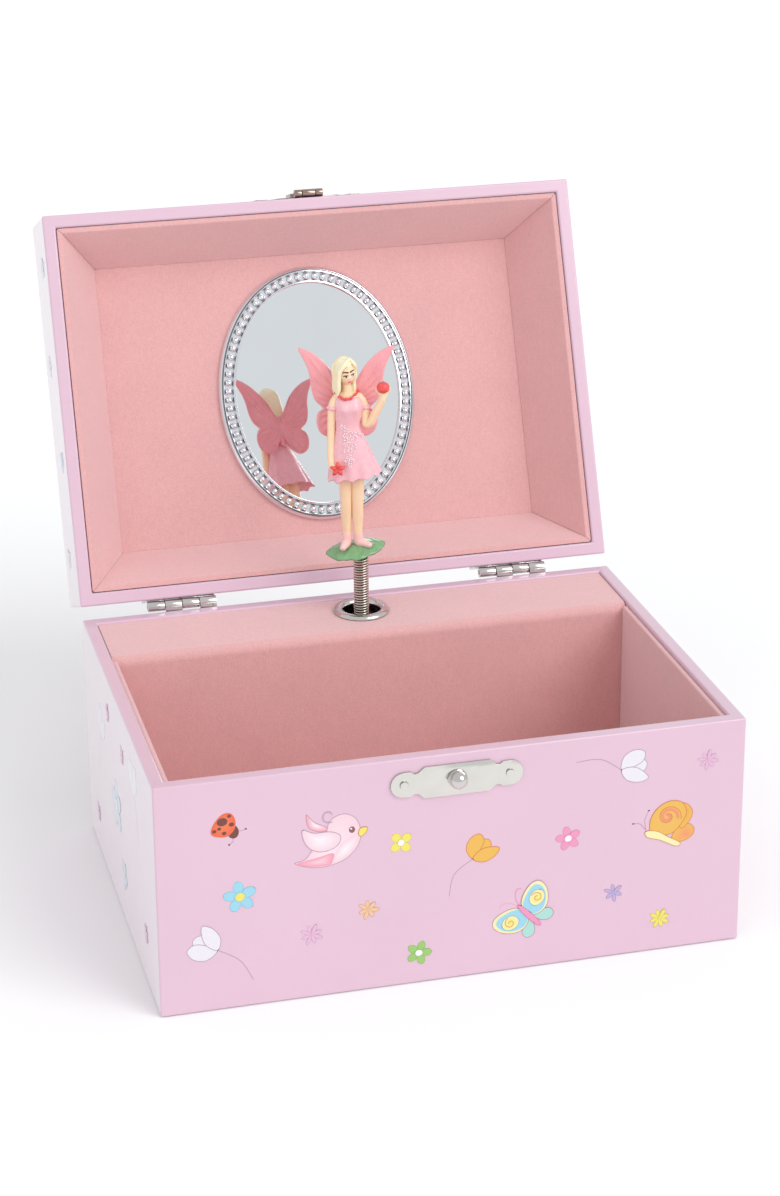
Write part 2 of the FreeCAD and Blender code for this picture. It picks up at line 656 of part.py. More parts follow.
def figure(perch, sole):
    """The fairy: legs, dress, body, arms and head in one moulding that stands on its perch."""
    hem, waist, chest, neck, crown = (sole + rise for rise in (18.5, 29, 36, 46, 49.6))
    spots = about_figure([
        (-1.5, 0, sole - 0.6), (-1.2, 0, hem + 1), (1.4, 0, sole - 0.6), (1.2, 0, hem + 1),
        (0, 0, hem), (0, 0, waist), (0, 0, chest + 3.5), (0, 0, neck), (0.3, -0.3, crown),
        (-3.2, 0, chest + 3), (-3.9, -0.8, hem + 3.5), (3, 0, chest + 3), (4.4, -0.6, chest - 0.6),
        (8.6, -3, chest + 7), (-1.9, -3, sole - 0.2), (1.9, -3, sole - 0.2)])
    pieces = [cone("left_leg", 1.1, 1.5, spots[0], spots[1]),
              cone("right_leg", 1.1, 1.5, spots[2], spots[3]),
              cone("skirt", 4.4, 2.5, spots[4], spots[5]),
              cone("bodice", 2.6, 3.4, spots[5], spots[6]),
              cone("throat", 1.6, 1.2, spots[6], spots[7]),
              ball("head", 4, spots[8]),
              cone("low_arm", 0.9, 0.8, spots[9], spots[10]),
              cone("upper_arm", 0.9, 0.95, spots[11], spots[12]),
              cone("raised_arm", 0.9, 0.8, spots[12], spots[13]),
              ball("elbow", 1, spots[12]),
              ball("apple", 1.3, spots[13]),
              ball("posy", 1.4, spots[10]),
              cone("left_shoe", 1.1, 0.7, spots[0], spots[14]),
              cone("right_shoe", 1.1, 0.7, spots[2], spots[15])]
    moulding = join("figure_solid", pieces)
    keep(cut("figure_on_leaf", moulding, perch), "fairy_figure")
    return moulding, chest


def wings(moulding, chest):
    """Both pairs of wings as one flat moulding behind the shoulders."""
    half = [(0.4, 5.4), (4, 7), (8.3, 12.5), (13.3, 18.6), (11.6, 12), (9.8, 6), (6.9, 1.8),
            (8.4, -1.5), (7.2, -4.6), (4.2, -5.6), (1.6, -3.4), (0.4, -0.5)]
    body = new_body("wing_body")
    face = sketch_on(body, "XZ_Plane", "wing_face")
    outline(face, half + [(-x, z) for x, z in reversed(half)])
    pad(body, face, "dims.wing_thick")
    spot = about_figure([(0, 4.1, chest)])[0]
    body.Placement = Placement(Vector(*spot), Rotation(Z_AXIS, d.figure_yaw))
    doc.recompute()
    keep(cut("wings_on_back", body, moulding), "fairy_wings")


# ---------------------------------------------------------------- movement

crown_module = 2 * d.crown_radius / d.crown_teeth
pinion_radius = crown_module * d.pinion_teeth / 2
pitch_y = figure_y - pinion_radius
take_radius = d.gear_module * d.take_teeth / 2
idler_radius = d.gear_module * d.idler_teeth / 2
idler_x = -(take_radius + idler_radius)
worm_wheel_radius = d.gear_module * d.worm_teeth / 2
worm_x = idler_x - worm_wheel_radius - d.worm_radius
worm_z = 33.9
shelf_z = worm_z - 3.6
train_z = d.cylinder_foot + d.cylinder_length + 0.7
top_bracket_z = train_z + 1.7


def toothed(name, teeth, module, width, bore, first=0.0):
    """A spur wheel about Z, standing on its origin.

    teeth is the sheet's name for the number of teeth, and first the angle of the first one."""
    pitch = getattr(d, teeth) * module / 2
    root, tip = pitch - 1.15 * module, pitch + 0.85 * module
    slope = math.tan(math.radians(20))
    at_pitch = 0.19 * math.pi * module
    body = new_body(name)
    disc = sketch_on(body, "XY_Plane", name + "_disc")
    ring(disc, f"{root + 0.05 * module}", "rim")
    ring(disc, bore, "bore")
    pad(body, disc, width)
    flank = sketch_on(body, "XY_Plane", name + "_tooth")
    base_half = at_pitch + 1.15 * module * slope
    tip_half = at_pitch - 0.85 * module * slope
    corners = [(root - 0.3 * module, -base_half), (tip, -tip_half), (tip, tip_half),
               (root - 0.3 * module, base_half)]
    turn = math.radians(first)
    outline(flank, [(x * math.cos(turn) - y * math.sin(turn),
                     x * math.sin(turn) + y * math.cos(turn)) for x, y in corners])
    tooth = pad(body, flank, width)
    doc.recompute()
    around(body, tooth, "Z_Axis", "dims." + teeth)
    return body


def bedplate():
    """The cast bed on the back wall, with the block that carries the comb."""
    plate = block("bed_plate", "dims.bed_width", "dims.bed_thick", "dims.bed_height",
                  (-18, bed_face, d.bed_foot))
    riser = block("comb_riser", "7", f"{bed_face - figure_y - d.comb_thick / 2} + 0.5",
                  "dims.comb_length", (18, figure_y + d.comb_thick / 2, d.comb_foot))
    holes = [rod("bed_arbor_hole", "dims.arbor_radius + dims.running_fit", "dims.bed_thick + 2",
                 (0, bed_face - 1, d.key_height), Y_AXIS)]
    holes += [rod(f"bed_tap_{z}", "dims.axle_radius", "dims.bed_thick + 2", (x, bed_face - 1, z),
                  Y_AXIS) for x, z in bed_screw_places]
    holes += [rod(f"comb_tap_{z}", "dims.comb_screw_radius", "5",
                  (comb_screw_x, figure_y - 1, z), Y_AXIS) for z in comb_screw_z]
    holes.append(block("stop_notch", "5.6", "dims.bed_thick + 2", "5", (0.9, bed_face - 1, 53.9)))
    keep(drill("bed_drilled", join("bed_solid", [plate, riser]), holes), "movement_bedplate")


def fasteners():
    screws = []
    for index, (x, z) in enumerate(bed_screw_places):
        shank = rod(f"bed_screw_shank_{index}", "dims.axle_radius", "dims.wall + dims.bed_thick",
                    (x, bed_face, z), Y_AXIS)
        head = rod(f"bed_screw_head_{index}", "dims.axle_radius * 2.2", "1.2",
                   (x, half_d, z), Y_AXIS)
        slot = block(f"bed_screw_slot_{index}", "6", "0.8", "0.6",
                     (x - 3, half_d + 0.6, z - 0.3))
        solid = join(f"bed_screw_solid_{index}", [shank, head])
        screws.append(cut(f"bed_screw_{index}", solid, slot))
    keep(gather("bed_screw_group", screws), "movement_screws")
    screws = []
    face = figure_y - d.comb_thick / 2
    for index, z in enumerate(comb_screw_z):
        spot = (comb_screw_x, face, z)
        shank = rod(f"comb_screw_shank_{index}", "dims.comb_screw_radius", "4", spot, Y_AXIS)
        head = rod(f"comb_screw_head_{index}", "2 * dims.comb_screw_radius", "1.1", spot, -Y_AXIS)
        screws.append(join(f"comb_screw_{index}", [shank, head]))
    keep(gather("comb_screw_group", screws), "comb_screws")


def comb():
    """Tuned steel comb; its tips stand just off the pins of the cylinder."""
    root_x, tip_x, length = 25.0, d.cylinder_radius + 0.75, d.comb_length
    body = new_body("comb_body")
    face = sketch_on(body, "XZ_Plane", "comb_face")
    count = int(d.comb_teeth)
    pitch, half_slot = length / count, d.comb_slot / 2
    edge = [(root_x, 0), (root_x, length)]
    for index in range(count):
        high = length - index * pitch - (half_slot if index > 0 else 0)
        low = length - (index + 1) * pitch + (half_slot if index < count - 1 else 0)
        slot_end = 16.8 - 0.25 * index
        edge += [(slot_end, high), (tip_x, high), (tip_x, low), (slot_end, low)]
    outline(face, edge)
    pad(body, face, "dims.comb_thick", both_ways=True)
    body.Placement.Base = Vector(0, figure_y, d.comb_foot)
    holes = [rod(f"comb_bore_{z}", "dims.comb_screw_radius", "3",
                 (comb_screw_x, figure_y - 1.5, z), Y_AXIS) for z in comb_screw_z]
    keep(drill("comb_bored", body, holes), "music_comb")


def spring_housing():
    shell = rod("housing_bar", "dims.housing_radius", "dims.housing_depth",
                (0, bed_face - d.housing_depth, d.key_height), Y_AXIS)
    room = rod("housing_room", "dims.housing_radius - dims.sheet_metal", "dims.housing_depth",
               (0, bed_face - d.housing_depth + d.sheet_metal, d.key_height), Y_AXIS)
    eye = rod("housing_eye", "dims.arbor_radius + dims.running_fit", "3",
              (0, bed_face - d.housing_depth - 1, d.key_height), Y_AXIS)
    keep(drill("housing_cup", shell, [room, eye]), "spring_housing")

    keep(mainspring(), "mainspring")


def mainspring():
    """A flat ribbon wound in half circles that grow by one step each."""
    thick, half_turns = 0.35, 8
    start = d.arbor_radius + 0.6
    step = (d.housing_radius - d.sheet_metal - 0.6 - start) / half_turns
    paths = []
    for shift in (0.0, thick):
        arcs = []
        for index in range(half_turns):
            radius = start + shift + index * step
            centre = step * (index % 2)
            side = 1 if index % 2 == 0 else -1
            arcs.append(Part.Arc(Vector(centre + side * radius, 0, 0),
                                 Vector(centre, side * radius, 0),
                                 Vector(centre - side * radius, 0, 0)).toShape())
        paths.append(arcs)
    inner, outer = paths
    tips = [Part.makeLine(inner[0].firstVertex().Point, outer[0].firstVertex().Point),
            Part.makeLine(inner[-1].lastVertex().Point, outer[-1].lastVertex().Point)]
    loop = Part.Wire(Part.__sortEdges__(inner + outer + tips))
    ribbon = shaped("mainspring_ribbon", Part.Face(loop).extrude(Vector(0, 0, 6)))
    ribbon.Placement = Placement(Vector(0, bed_face - 0.5, d.key_height),
                                 Rotation(X_AXIS, 90))
    return ribbon


def winding_train():
    """Key, arbor and the crown wheel that drives the cylinder's pinion."""
    wheel_front = pitch_y - crown_module - 1.4
    arbor_front = wheel_front - 1.5
    hub_y = half_d + 2.5
    arbor = rod("arbor_bar", "dims.arbor_radius", f"{hub_y + 3 - arbor_front}",
                (0, arbor_front, d.key_height), Y_AXIS)
    keep(arbor, "key_arbor")

    body = new_body("crown_body")
    disc = sketch_on(body, "XZ_Plane", "crown_disc")
    rim = d.crown_radius + d.crown_face / 2
    ring(disc, "dims.crown_radius + dims.crown_face / 2", "rim")
    ring(disc, "dims.arbor_radius", "bore")
    pad(body, disc, "dims.crown_thick", backwards=True)
    flank = sketch_on(body, "XZ_Plane", "crown_tooth")
    half = 0.17 * math.pi * crown_module
    low, high = d.crown_radius - d.crown_face / 2, rim
    outline(flank, [(-half, low), (half, low), (half, high - 0.02), (-half, high - 0.02)])
    tooth = pad(body, flank, f"{pitch_y + 0.8 * crown_module - wheel_front}", backwards=True)
    doc.recompute()
    around(body, tooth, "Y_Axis", "dims.crown_teeth")
    body.Placement.Base = Vector(0, wheel_front, d.key_height)
    keep(body, "crown_wheel")

    bow_y = hub_y + 4
    hub = rod("key_hub_bar", "dims.key_hub", "dims.key_hub_length", (0, hub_y, d.key_height),
              Y_AXIS)
    bow = [block("key_blade", "2 * dims.key_half", "dims.key_thick", "2 * dims.key_lobe",
                 (-d.key_half, bow_y, d.key_height - d.key_lobe))]
    bow += [rod(f"key_lobe_{side}", "dims.key_lobe", "dims.key_thick",
                (side * d.key_half, bow_y, d.key_height), Y_AXIS) for side in (-1, 1)]
    eyes = [rod(f"key_eye_{side}", "dims.key_eye", "dims.key_thick + 2",
                (side * (d.key_half - 1), bow_y - 1, d.key_height), Y_AXIS) for side in (-1, 1)]
    eyes.append(rod("key_socket", "dims.arbor_radius", "3", (0, hub_y, d.key_height), Y_AXIS))
    keep(drill("key_bored", join("key_solid", [hub, *bow]), eyes), "winding_key")


def cylinder():
    """The pinned cylinder on its axle, with the drive pinion below and the train wheel above."""
    drum = Part.makeCylinder(d.cylinder_radius, d.cylinder_length,
                             Vector(0, 0, d.cylinder_foot))
    pins = []
    golden = 180 * (3 - math.sqrt(5))
    rows = int(d.comb_teeth)
    for index in range(2 * rows):
        height = d.comb_foot + (0.5 + index % rows) * d.comb_length / rows
        pin = Part.makeCylinder(0.22, d.cylinder_radius + 0.4, Vector(0, 0, height), X_AXIS)
        pin.rotate(Vector(0, 0, height), Z_AXIS, 25 + index * golden)
        pins.append(pin)
    pinned = shaped("pinned_drum", drum.multiFuse(pins))
    pinned.Placement.Base = Vector(0, figure_y, 0)
    axle = rod("drum_axle", "dims.axle_radius", "dims.spring_foot - 1.5 - dims.axle_foot",
               (0, figure_y, d.axle_foot))
    keep(join("drum_solid", [pinned, axle]), "pin_cylinder")

    pinion = toothed("drive_pinion_body", "pinion_teeth", crown_module, "dims.pinion_width",
                     "dims.axle_radius", 270 + 180 / d.pinion_teeth)
    pinion.Placement.Base = Vector(0, figure_y,
                                   d.key_height + d.crown_radius - d.pinion_width / 2)
    keep(pinion, "drive_pinion")
    wheel = toothed("train_wheel_body", "take_teeth", d.gear_module, "dims.wheel_thick",
                    "dims.axle_radius")
    wheel.Placement.Base = Vector(0, figure_y, train_z)
    keep(wheel, "train_wheel")

    seat = rod("spindle_seat", "dims.spring_radius", "1.5", (0, figure_y, d.spring_foot - 1.5))
    plug = rod("spindle_plug", "dims.spring_bore", "4.5", (0, figure_y, d.spring_foot))
    keep(join("spindle_solid", [seat, plug]), "figure_spindle")


def governor():
    """The idler that speeds the train up, and the worm with its air brake."""
    axle = rod("idler_axle_bar", "dims.idler_axle",
               f"{top_bracket_z + d.bracket_thick - shelf_z - 0.1}",
               (idler_x, figure_y, shelf_z + 0.1))
    pinion = toothed("idler_pinion_body", "idler_teeth", d.gear_module, "dims.wheel_thick",
                     "dims.idler_axle", 180 / d.idler_teeth)
    pinion.Placement.Base = Vector(idler_x, figure_y, train_z)
    wheel = toothed("worm_wheel_body", "worm_teeth", d.gear_module, "dims.worm_wheel_thick",
                    "dims.idler_axle")
    wheel.Placement.Base = Vector(idler_x, figure_y, worm_z - d.worm_wheel_thick / 2)
    keep(join("idler_solid", [axle, pinion, wheel]), "idler_wheel")

    lead = math.pi * d.gear_module
    turns = 4
    core_radius = d.worm_radius - 0.9 * d.gear_module
    root_radius = core_radius - 0.12
    tip_radius = d.worm_radius + 0.8 * d.gear_module
    helix = Part.makeHelix(lead, lead * turns, core_radius)
    foot, top = 0.30 * lead, 0.14 * lead
    section = Part.makePolygon([
        Vector(root_radius, 0, -foot), Vector(tip_radius, 0, -top), Vector(tip_radius, 0, top),
        Vector(root_radius, 0, foot), Vector(root_radius, 0, -foot)])
    thread = Part.Wire(helix).makePipeShell([section], True, True)
    core = Part.makeCylinder(core_radius, lead * turns + 1.6, Vector(0, 0, -0.8))
    worm = shaped("worm_thread", core.fuse(thread))
    worm_start = figure_y - lead * (turns + 1) / 2
    worm.Placement = Placement(Vector(worm_x, worm_start, worm_z), Rotation(X_AXIS, -90))
    shaft_front = figure_y - 10
    shaft = rod("worm_shaft", "dims.worm_pivot", "14.9", (worm_x, shaft_front, worm_z), Y_AXIS)
    half_span, half_thick, fan_y = d.fan_span / 2, d.fan_thick / 2, shaft_front + 0.2
    blades = [block("fan_blade_wide", "dims.fan_span", "dims.fan_chord", "dims.fan_thick",
                    (worm_x - half_span, fan_y, worm_z - half_thick)),
              block("fan_blade_tall", "dims.fan_thick", "dims.fan_chord", "dims.fan_span",
                    (worm_x - half_thick, fan_y, worm_z - half_span))]
    keep(join("governor_solid", [worm, shaft, *blades]), "governor_fan")


def brackets():
    """Sheet arms from the bed that carry the train's pivots."""
    reach = bed_face - figure_y + 2.5
    arm_front = bed_face - reach
    axle_bore = "dims.axle_radius + dims.running_fit"
    idler_bore = "dims.idler_axle + dims.running_fit"
    margin = 2
    top = block("top_arm", f"{2 * margin - idler_x}", f"{reach}", "dims.bracket_thick",
                (idler_x - margin, arm_front, top_bracket_z))
    holes = [rod("top_axle_eye", axle_bore, "4", (0, figure_y, top_bracket_z - 1)),
             rod("top_idler_eye", idler_bore, "4", (idler_x, figure_y, top_bracket_z - 1))]
    keep(drill("top_arm_bored", top, holes), "cylinder_bracket_top")

    low_z = d.cylinder_foot - 1.5
    low = block("low_arm_plate", "5", f"{reach}", "1", (-2.5, arm_front, low_z))
    keep(drill("low_arm_bored", low, [rod("low_axle_eye", axle_bore, "4",
                                          (0, figure_y, low_z - 1))]), "cylinder_bracket_low")

    side = worm_x - 4
    fore_y, rear_y = figure_y - 6.4, figure_y + 3.2
    rise = f"{worm_z + 3 - shelf_z}"
    shelf = block("idler_shelf", f"{idler_x + 2.5 - side}", f"{reach}", "dims.bracket_thick",
                  (side, arm_front, shelf_z))
    rear = block("worm_rear_arm", "6", "dims.bracket_thick", rise, (side, rear_y, shelf_z))
    fore = block("worm_fore_arm", "4.8", "dims.bracket_thick", rise, (side, fore_y, shelf_z))
    web = block("worm_web", "1", f"{bed_face - fore_y}", rise, (side, fore_y, shelf_z))
    eyes = [rod("worm_eye", "dims.worm_pivot + dims.running_fit", "16",
                (worm_x, fore_y - 1.6, worm_z), Y_AXIS),
            rod("idler_eye", idler_bore, "4", (idler_x, figure_y, shelf_z - 1.3))]
    keep(drill("worm_arm_bored", join("worm_arm_solid", [shelf, rear, fore, web]), eyes),
         "governor_bracket")


def stop_wire():
    """The wire that the closing lid pushes down, with an arm that brakes the train wheel."""
    arm_z = ledge_under - 0.6
    top = ledge_top + 3
    reach = 0.72 * take_radius
    upright = rod("stop_upright", "dims.stop_radius", f"{top - arm_z}", (stop_x, stop_y, arm_z))
    arm = cone("stop_arm", d.stop_radius, d.stop_radius, (stop_x, stop_y, arm_z),
               (reach, figure_y + reach, arm_z))
    elbow = ball("stop_elbow", d.stop_radius, (stop_x, stop_y, arm_z))
    keep(join("stop_solid", [upright, arm, elbow]), "stop_wire")


# ---------------------------------------------------------------- build, check, write

case_panels()
case_linings()
music_ledge()
ledge_grommet()
hinges()
catch()
hasp_plate_mid = hasp()
keep(gather("case_nail_group", box_nails), "box_nails")
keep(on_lid(gather("cover_nail_group", lid_nails)), "lid_nails")
lid_panels(hasp_plate_mid)
lid_linings()
mirror()
spring()
fairy, shoulder_height = figure(*leaf())
wings(fairy, shoulder_height)
bedplate()
fasteners()
comb()
spring_housing()
winding_train()
cylinder()
governor()
brackets()
stop_wire()
doc.recompute()

for item in doc.Objects:
    troubles = [state for state in item.State if state in ("Invalid", "Error")]
    if troubles:
        raise RuntimeError(f"{item.Name} ({item.Label}) is {troubles}")
for item in subparts:
    if item.Shape.isNull() or not item.Shape.isValid() or not item.Shape.Solids:
        raise RuntimeError(f"{item.Label} has no valid solid")

os.makedirs("parts", exist_ok=True)
for item in subparts:
    item.Shape.exportStep(f"parts/{item.Label}.step")
print(len(subparts), "sub-parts written")
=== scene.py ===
import json
import math
import random

import bmesh
import bpy
from mathutils import Matrix, Vector

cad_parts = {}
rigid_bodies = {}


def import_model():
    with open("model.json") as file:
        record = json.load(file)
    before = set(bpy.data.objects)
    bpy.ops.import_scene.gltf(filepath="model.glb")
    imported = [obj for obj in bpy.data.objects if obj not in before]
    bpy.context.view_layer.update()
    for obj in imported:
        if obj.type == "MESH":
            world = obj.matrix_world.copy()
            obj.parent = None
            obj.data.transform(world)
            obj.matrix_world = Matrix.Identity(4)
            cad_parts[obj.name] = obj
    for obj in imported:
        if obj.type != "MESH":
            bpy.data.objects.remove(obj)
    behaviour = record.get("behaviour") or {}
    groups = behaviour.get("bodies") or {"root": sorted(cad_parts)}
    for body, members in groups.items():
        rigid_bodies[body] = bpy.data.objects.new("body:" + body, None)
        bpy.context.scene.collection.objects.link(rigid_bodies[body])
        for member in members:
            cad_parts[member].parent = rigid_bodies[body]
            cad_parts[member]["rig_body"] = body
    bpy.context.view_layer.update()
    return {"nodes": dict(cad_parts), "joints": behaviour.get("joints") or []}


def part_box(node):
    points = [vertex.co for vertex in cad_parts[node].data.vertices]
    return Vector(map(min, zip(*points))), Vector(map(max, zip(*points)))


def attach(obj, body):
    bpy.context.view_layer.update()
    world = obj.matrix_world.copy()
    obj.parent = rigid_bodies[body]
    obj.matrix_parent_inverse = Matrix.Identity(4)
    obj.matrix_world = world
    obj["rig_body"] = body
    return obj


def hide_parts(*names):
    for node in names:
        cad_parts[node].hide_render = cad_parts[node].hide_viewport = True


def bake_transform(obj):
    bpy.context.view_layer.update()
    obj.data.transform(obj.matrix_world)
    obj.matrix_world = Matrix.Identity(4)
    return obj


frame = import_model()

# The looks of a child's musical jewellery box: paper-wrapped boards, velour linings, a
# bead-edged oval mirror and a fairy on a coil spring. Points are in millimetres, in the
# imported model's frame, and become metres where a mesh is made.

MM = 0.001


# ---------------------------------------------------------------- places read from the frame

def box_mm(node):
    low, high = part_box(node)
    return low / MM, high / MM


joints = {joint["name"]: joint for joint in frame["joints"]}
hinge = Vector(joints["lid_hinge"]["pos_m"]) / MM
OPEN_ANGLE = math.radians(joints["lid_hinge"]["range_deg"][1])

# A point of the shut lid goes to its place on the open lid
lid_turn = (Matrix.Translation(hinge) @ Matrix.Rotation(-OPEN_ANGLE, 4, "X")
            @ Matrix.Translation(-hinge))


def shut_box(node):
    """Lowest and highest corners of a lid node with the lid shut."""
    back = lid_turn.inverted()
    spots = [back @ (v.co / MM) for v in frame["nodes"][node].data.vertices]
    return (Vector(min(p[i] for p in spots) for i in range(3)),
            Vector(max(p[i] for p in spots) for i in range(3)))


front_low, front_high = box_mm("box_front")
HALF_W, HALF_D = front_high.x, -front_low.y
WALL = front_high.y - front_low.y
CASE_TOP = front_high.z
FLOOR_BOARD = box_mm("box_bottom")[1].z
INNER_X, INNER_Y = HALF_W - WALL, HALF_D - WALL
LID_LOW, LID_TOP = shut_box("lid_front")[0].z, shut_box("lid_top")[1].z
LID_BOARD = LID_TOP - shut_box("lid_top")[0].z
ledge_low, ledge_high = box_mm("music_ledge")
panel_low, panel_high = shut_box("lid_lining_panel")
axis_x, axis_y = [value / MM for value in joints["figure_spin"]["pos_m"][:2]]
SPRING_FOOT = box_mm("figure_spring_lower")[0].z
SPRING_TOP = box_mm("figure_spring_upper")[1].z
SPRING_RADIUS = box_mm("figure_spring_upper")[1].x - axis_x

# The fairy stands a little to the left of the spring, turned toward the photo's camera
FIGURE_SIDE = -3.1
FIGURE_YAW = math.radians(-10)
SOLE_RISE = 4.6
sole_z = SPRING_TOP + SOLE_RISE
stand = Matrix.Translation((FIGURE_SIDE, axis_y, sole_z)) @ Matrix.Rotation(FIGURE_YAW, 4, "Z")


# ---------------------------------------------------------------- materials

def srgb(red, green, blue):
    """A screen colour, 0 to 255, as the linear values that a shader takes."""
    def linear(value):
        value /= 255
        return value / 12.92 if value < 0.04045 else ((value + 0.055) / 1.055) ** 2.4
    return linear(red), linear(green), linear(blue), 1.0


def scaled(colour, share):
    return tuple(min(1.0, part * share) for part in colour[:3]) + (1.0,)


class Finish:
    """A material: a Principled shader and the nodes that vary its colour and relief."""

    def __init__(self, name, colour, **constants):
        self.material = bpy.data.materials.new(name)
        self.material.use_nodes = True
        tree = self.material.node_tree
        self.nodes, self.links = tree.nodes, tree.links
        self.shader = self.nodes["Principled BSDF"]
        self.colour = colour
        self.shader.inputs["Base Color"].default_value = colour
        for key, value in constants.items():
            self.shader.inputs[SOCKETS[key]].default_value = value
        self.place = self.nodes.new("ShaderNodeTexCoord").outputs["Object"]

    def feed(self, socket, value):
        """Wires another node's output to a socket, or sets the socket to a value."""
        if isinstance(value, bpy.types.NodeSocket):
            self.links.new(value, socket)
        else:
            socket.default_value = value

    def node(self, kind, **inputs):
        made = self.nodes.new("ShaderNode" + kind)
        for name, value in inputs.items():
            self.feed(made.inputs[name.replace("_", " ")], value)
        return made

    def noise(self, size, detail=3.0, stretch=(1, 1, 1)):
        """Noise whose blotches are about size millimetres across."""
        place = self.node("Mapping", Vector=self.place, Scale=[s / (size * MM) for s in stretch])
        return self.node("TexNoise", Vector=place.outputs[0], Scale=1.0, Detail=detail).outputs["Fac"]

    def spread(self, value, low, high):
        """Noise values around the middle, stretched to run from low to high."""
        return self.node("MapRange", Value=value, From_Min=0.3, From_Max=0.7, To_Min=low,
                         To_Max=high).outputs["Result"]

    def blend(self, first, second, share, mode="MIX"):
        made = self.node("Mix")
        made.data_type = "RGBA"
        made.blend_type = mode
        for index, value in ((0, share), (6, first), (7, second)):
            self.feed(made.inputs[index], value)
        return made.outputs[2]

    def mottle(self, size, strength, base=None, **options):
        """Colour that drifts between a lighter and a darker shade."""
        pattern = self.spread(self.noise(size, **options), 0.0, 1.0)
        if base is None:
            return self.blend(scaled(self.colour, 1 - strength), scaled(self.colour, 1 + strength),
                              pattern)
        return self.blend(base, self.blend(base, (1 - strength,) * 3 + (1,), 1.0, "MULTIPLY"),
                          pattern)

    def crevice_shaded(self, colour, reach, dark):
        """Painted shade: darkens a colour where surfaces lie close together, as in crevices and
        between beads.
        """
        near = self.node("AmbientOcclusion", Distance=reach * MM)
        near.samples = 6
        openness = self.spread(near.outputs["AO"], 0.0, 1.0)
        return self.blend(self.blend(colour, dark, 1.0, "MULTIPLY"), colour, openness)

    def paint(self, colour):
        self.feed(self.shader.inputs["Base Color"], colour)
        return self

    def roughen(self, size, low, high):
        self.feed(self.shader.inputs["Roughness"], self.spread(self.noise(size), low, high))
        return self

    def relief(self, *layers):
        """Bumps: each layer is a noise size and a height."""
        normal = None
        for size, height in layers:
            bump = self.node("Bump", Strength=1.0, Distance=height * MM, Height=self.noise(size))
            if normal:
                self.feed(bump.inputs["Normal"], normal)
            normal = bump.outputs["Normal"]
        self.feed(self.shader.inputs["Normal"], normal)
        return self


SOCKETS = {
    "metal": "Metallic", "rough": "Roughness", "specular": "Specular IOR Level",
    "coat": "Coat Weight", "coat_rough": "Coat Roughness", "sheen": "Sheen Weight",
    "sheen_rough": "Sheen Roughness", "sheen_tint": "Sheen Tint",
    "under": "Subsurface Weight", "under_scale": "Subsurface Scale",
}


def paper():
    made = Finish("lilac_paper", srgb(216, 181, 199), rough=0.4, coat=1.0, coat_rough=0.12,
                  sheen=1.0, sheen_rough=0.35)
    made.paint(made.mottle(0.5, 0.015, base=made.mottle(30, 0.015)))
    made.roughen(18, 0.34, 0.46)
    return made.relief((35, 0.12), (0.35, 0.004)).material


def print_ink():
    """Print on the paper, coloured from the mesh's ink attribute."""
    made = Finish("print_ink", srgb(240, 220, 230), rough=0.45, coat=0.2, coat_rough=0.25,
                  sheen=1.0, sheen_rough=0.35)
    ink = made.nodes.new("ShaderNodeVertexColor")
    ink.layer_name = "ink"
    made.paint(made.mottle(0.3, 0.05, base=ink.outputs["Color"]))
    made.roughen(18, 0.38, 0.52)
    return made.relief((0.35, 0.004)).material


def velour():
    made = Finish("velour", srgb(230, 176, 175), rough=0.92, specular=0.2, sheen=1.0,
                  sheen_rough=0.5, sheen_tint=srgb(255, 246, 250))
    pile = made.mottle(0.45, 0.13, base=made.mottle(14, 0.02), detail=4.0)
    made.paint(made.mottle(1.1, 0.04, base=pile, stretch=(1, 1, 0.45)))
    return made.relief((0.28, 0.09), (2.2, 0.05)).material


def plated(name, colour, low, high, reach=0.9, dark=0.14):
    made = Finish(name, colour, metal=1.0, rough=low)
    # Painted shade: the metal's colour is darkened in crevices, joints and between beads.
    made.paint(made.crevice_shaded(made.mottle(6, 0.04), reach, (1.1 * dark, 0.95 * dark, 0.9 * dark, 1)))
    made.roughen(5, low, high)
    return made.relief((3, 0.002)).material


def silvered():
    made = Finish("mirror_silver", srgb(240, 243, 245), metal=1.0, rough=0.02)
    made.paint(made.mottle(25, 0.01))
    return made.roughen(30, 0.012, 0.035).material


def plastic(name, colour, rough=0.35, shade=0.05, size=2.5, under=0.12):
    made = Finish(name, colour, rough=rough, under=under, under_scale=0.6 * MM, coat=0.15,
                  coat_rough=0.15)
    made.paint(made.mottle(size, shade))
    made.roughen(1.5, rough - 0.06, rough + 0.08)
    return made.relief((1.1, 0.02)).material


def leaf_green():
    made = Finish("leaf_green", srgb(124, 172, 120), rough=0.26, coat=0.6, coat_rough=0.08)
    made.paint(made.mottle(1.8, 0.14, base=made.mottle(5, 0.08)))
    made.roughen(1.2, 0.2, 0.36)
    return made.relief((1.4, 0.06)).material


def floor_finish():
    made = Finish("studio_floor", (0.96, 0.96, 0.96, 1), rough=0.7, specular=0.2)
    made.paint(made.mottle(400, 0.004))
    return made.material


PAPER = paper()
INK = print_ink()
VELOUR = velour()
MIRROR = silvered()
CHROME = plated("chrome_plastic", srgb(236, 238, 242), 0.08, 0.14, reach=0.5, dark=0.3)
NICKEL = plated("nickel_plate", srgb(222, 220, 213), 0.16, 0.24)
BRIGHT = plated("polished_nickel", srgb(212, 208, 205), 0.08, 0.16)
SPRING = plated("spring_steel", srgb(214, 202, 192), 0.16, 0.24)
BRONZE = plated("darkened_steel", srgb(120, 105, 90), 0.25, 0.4)
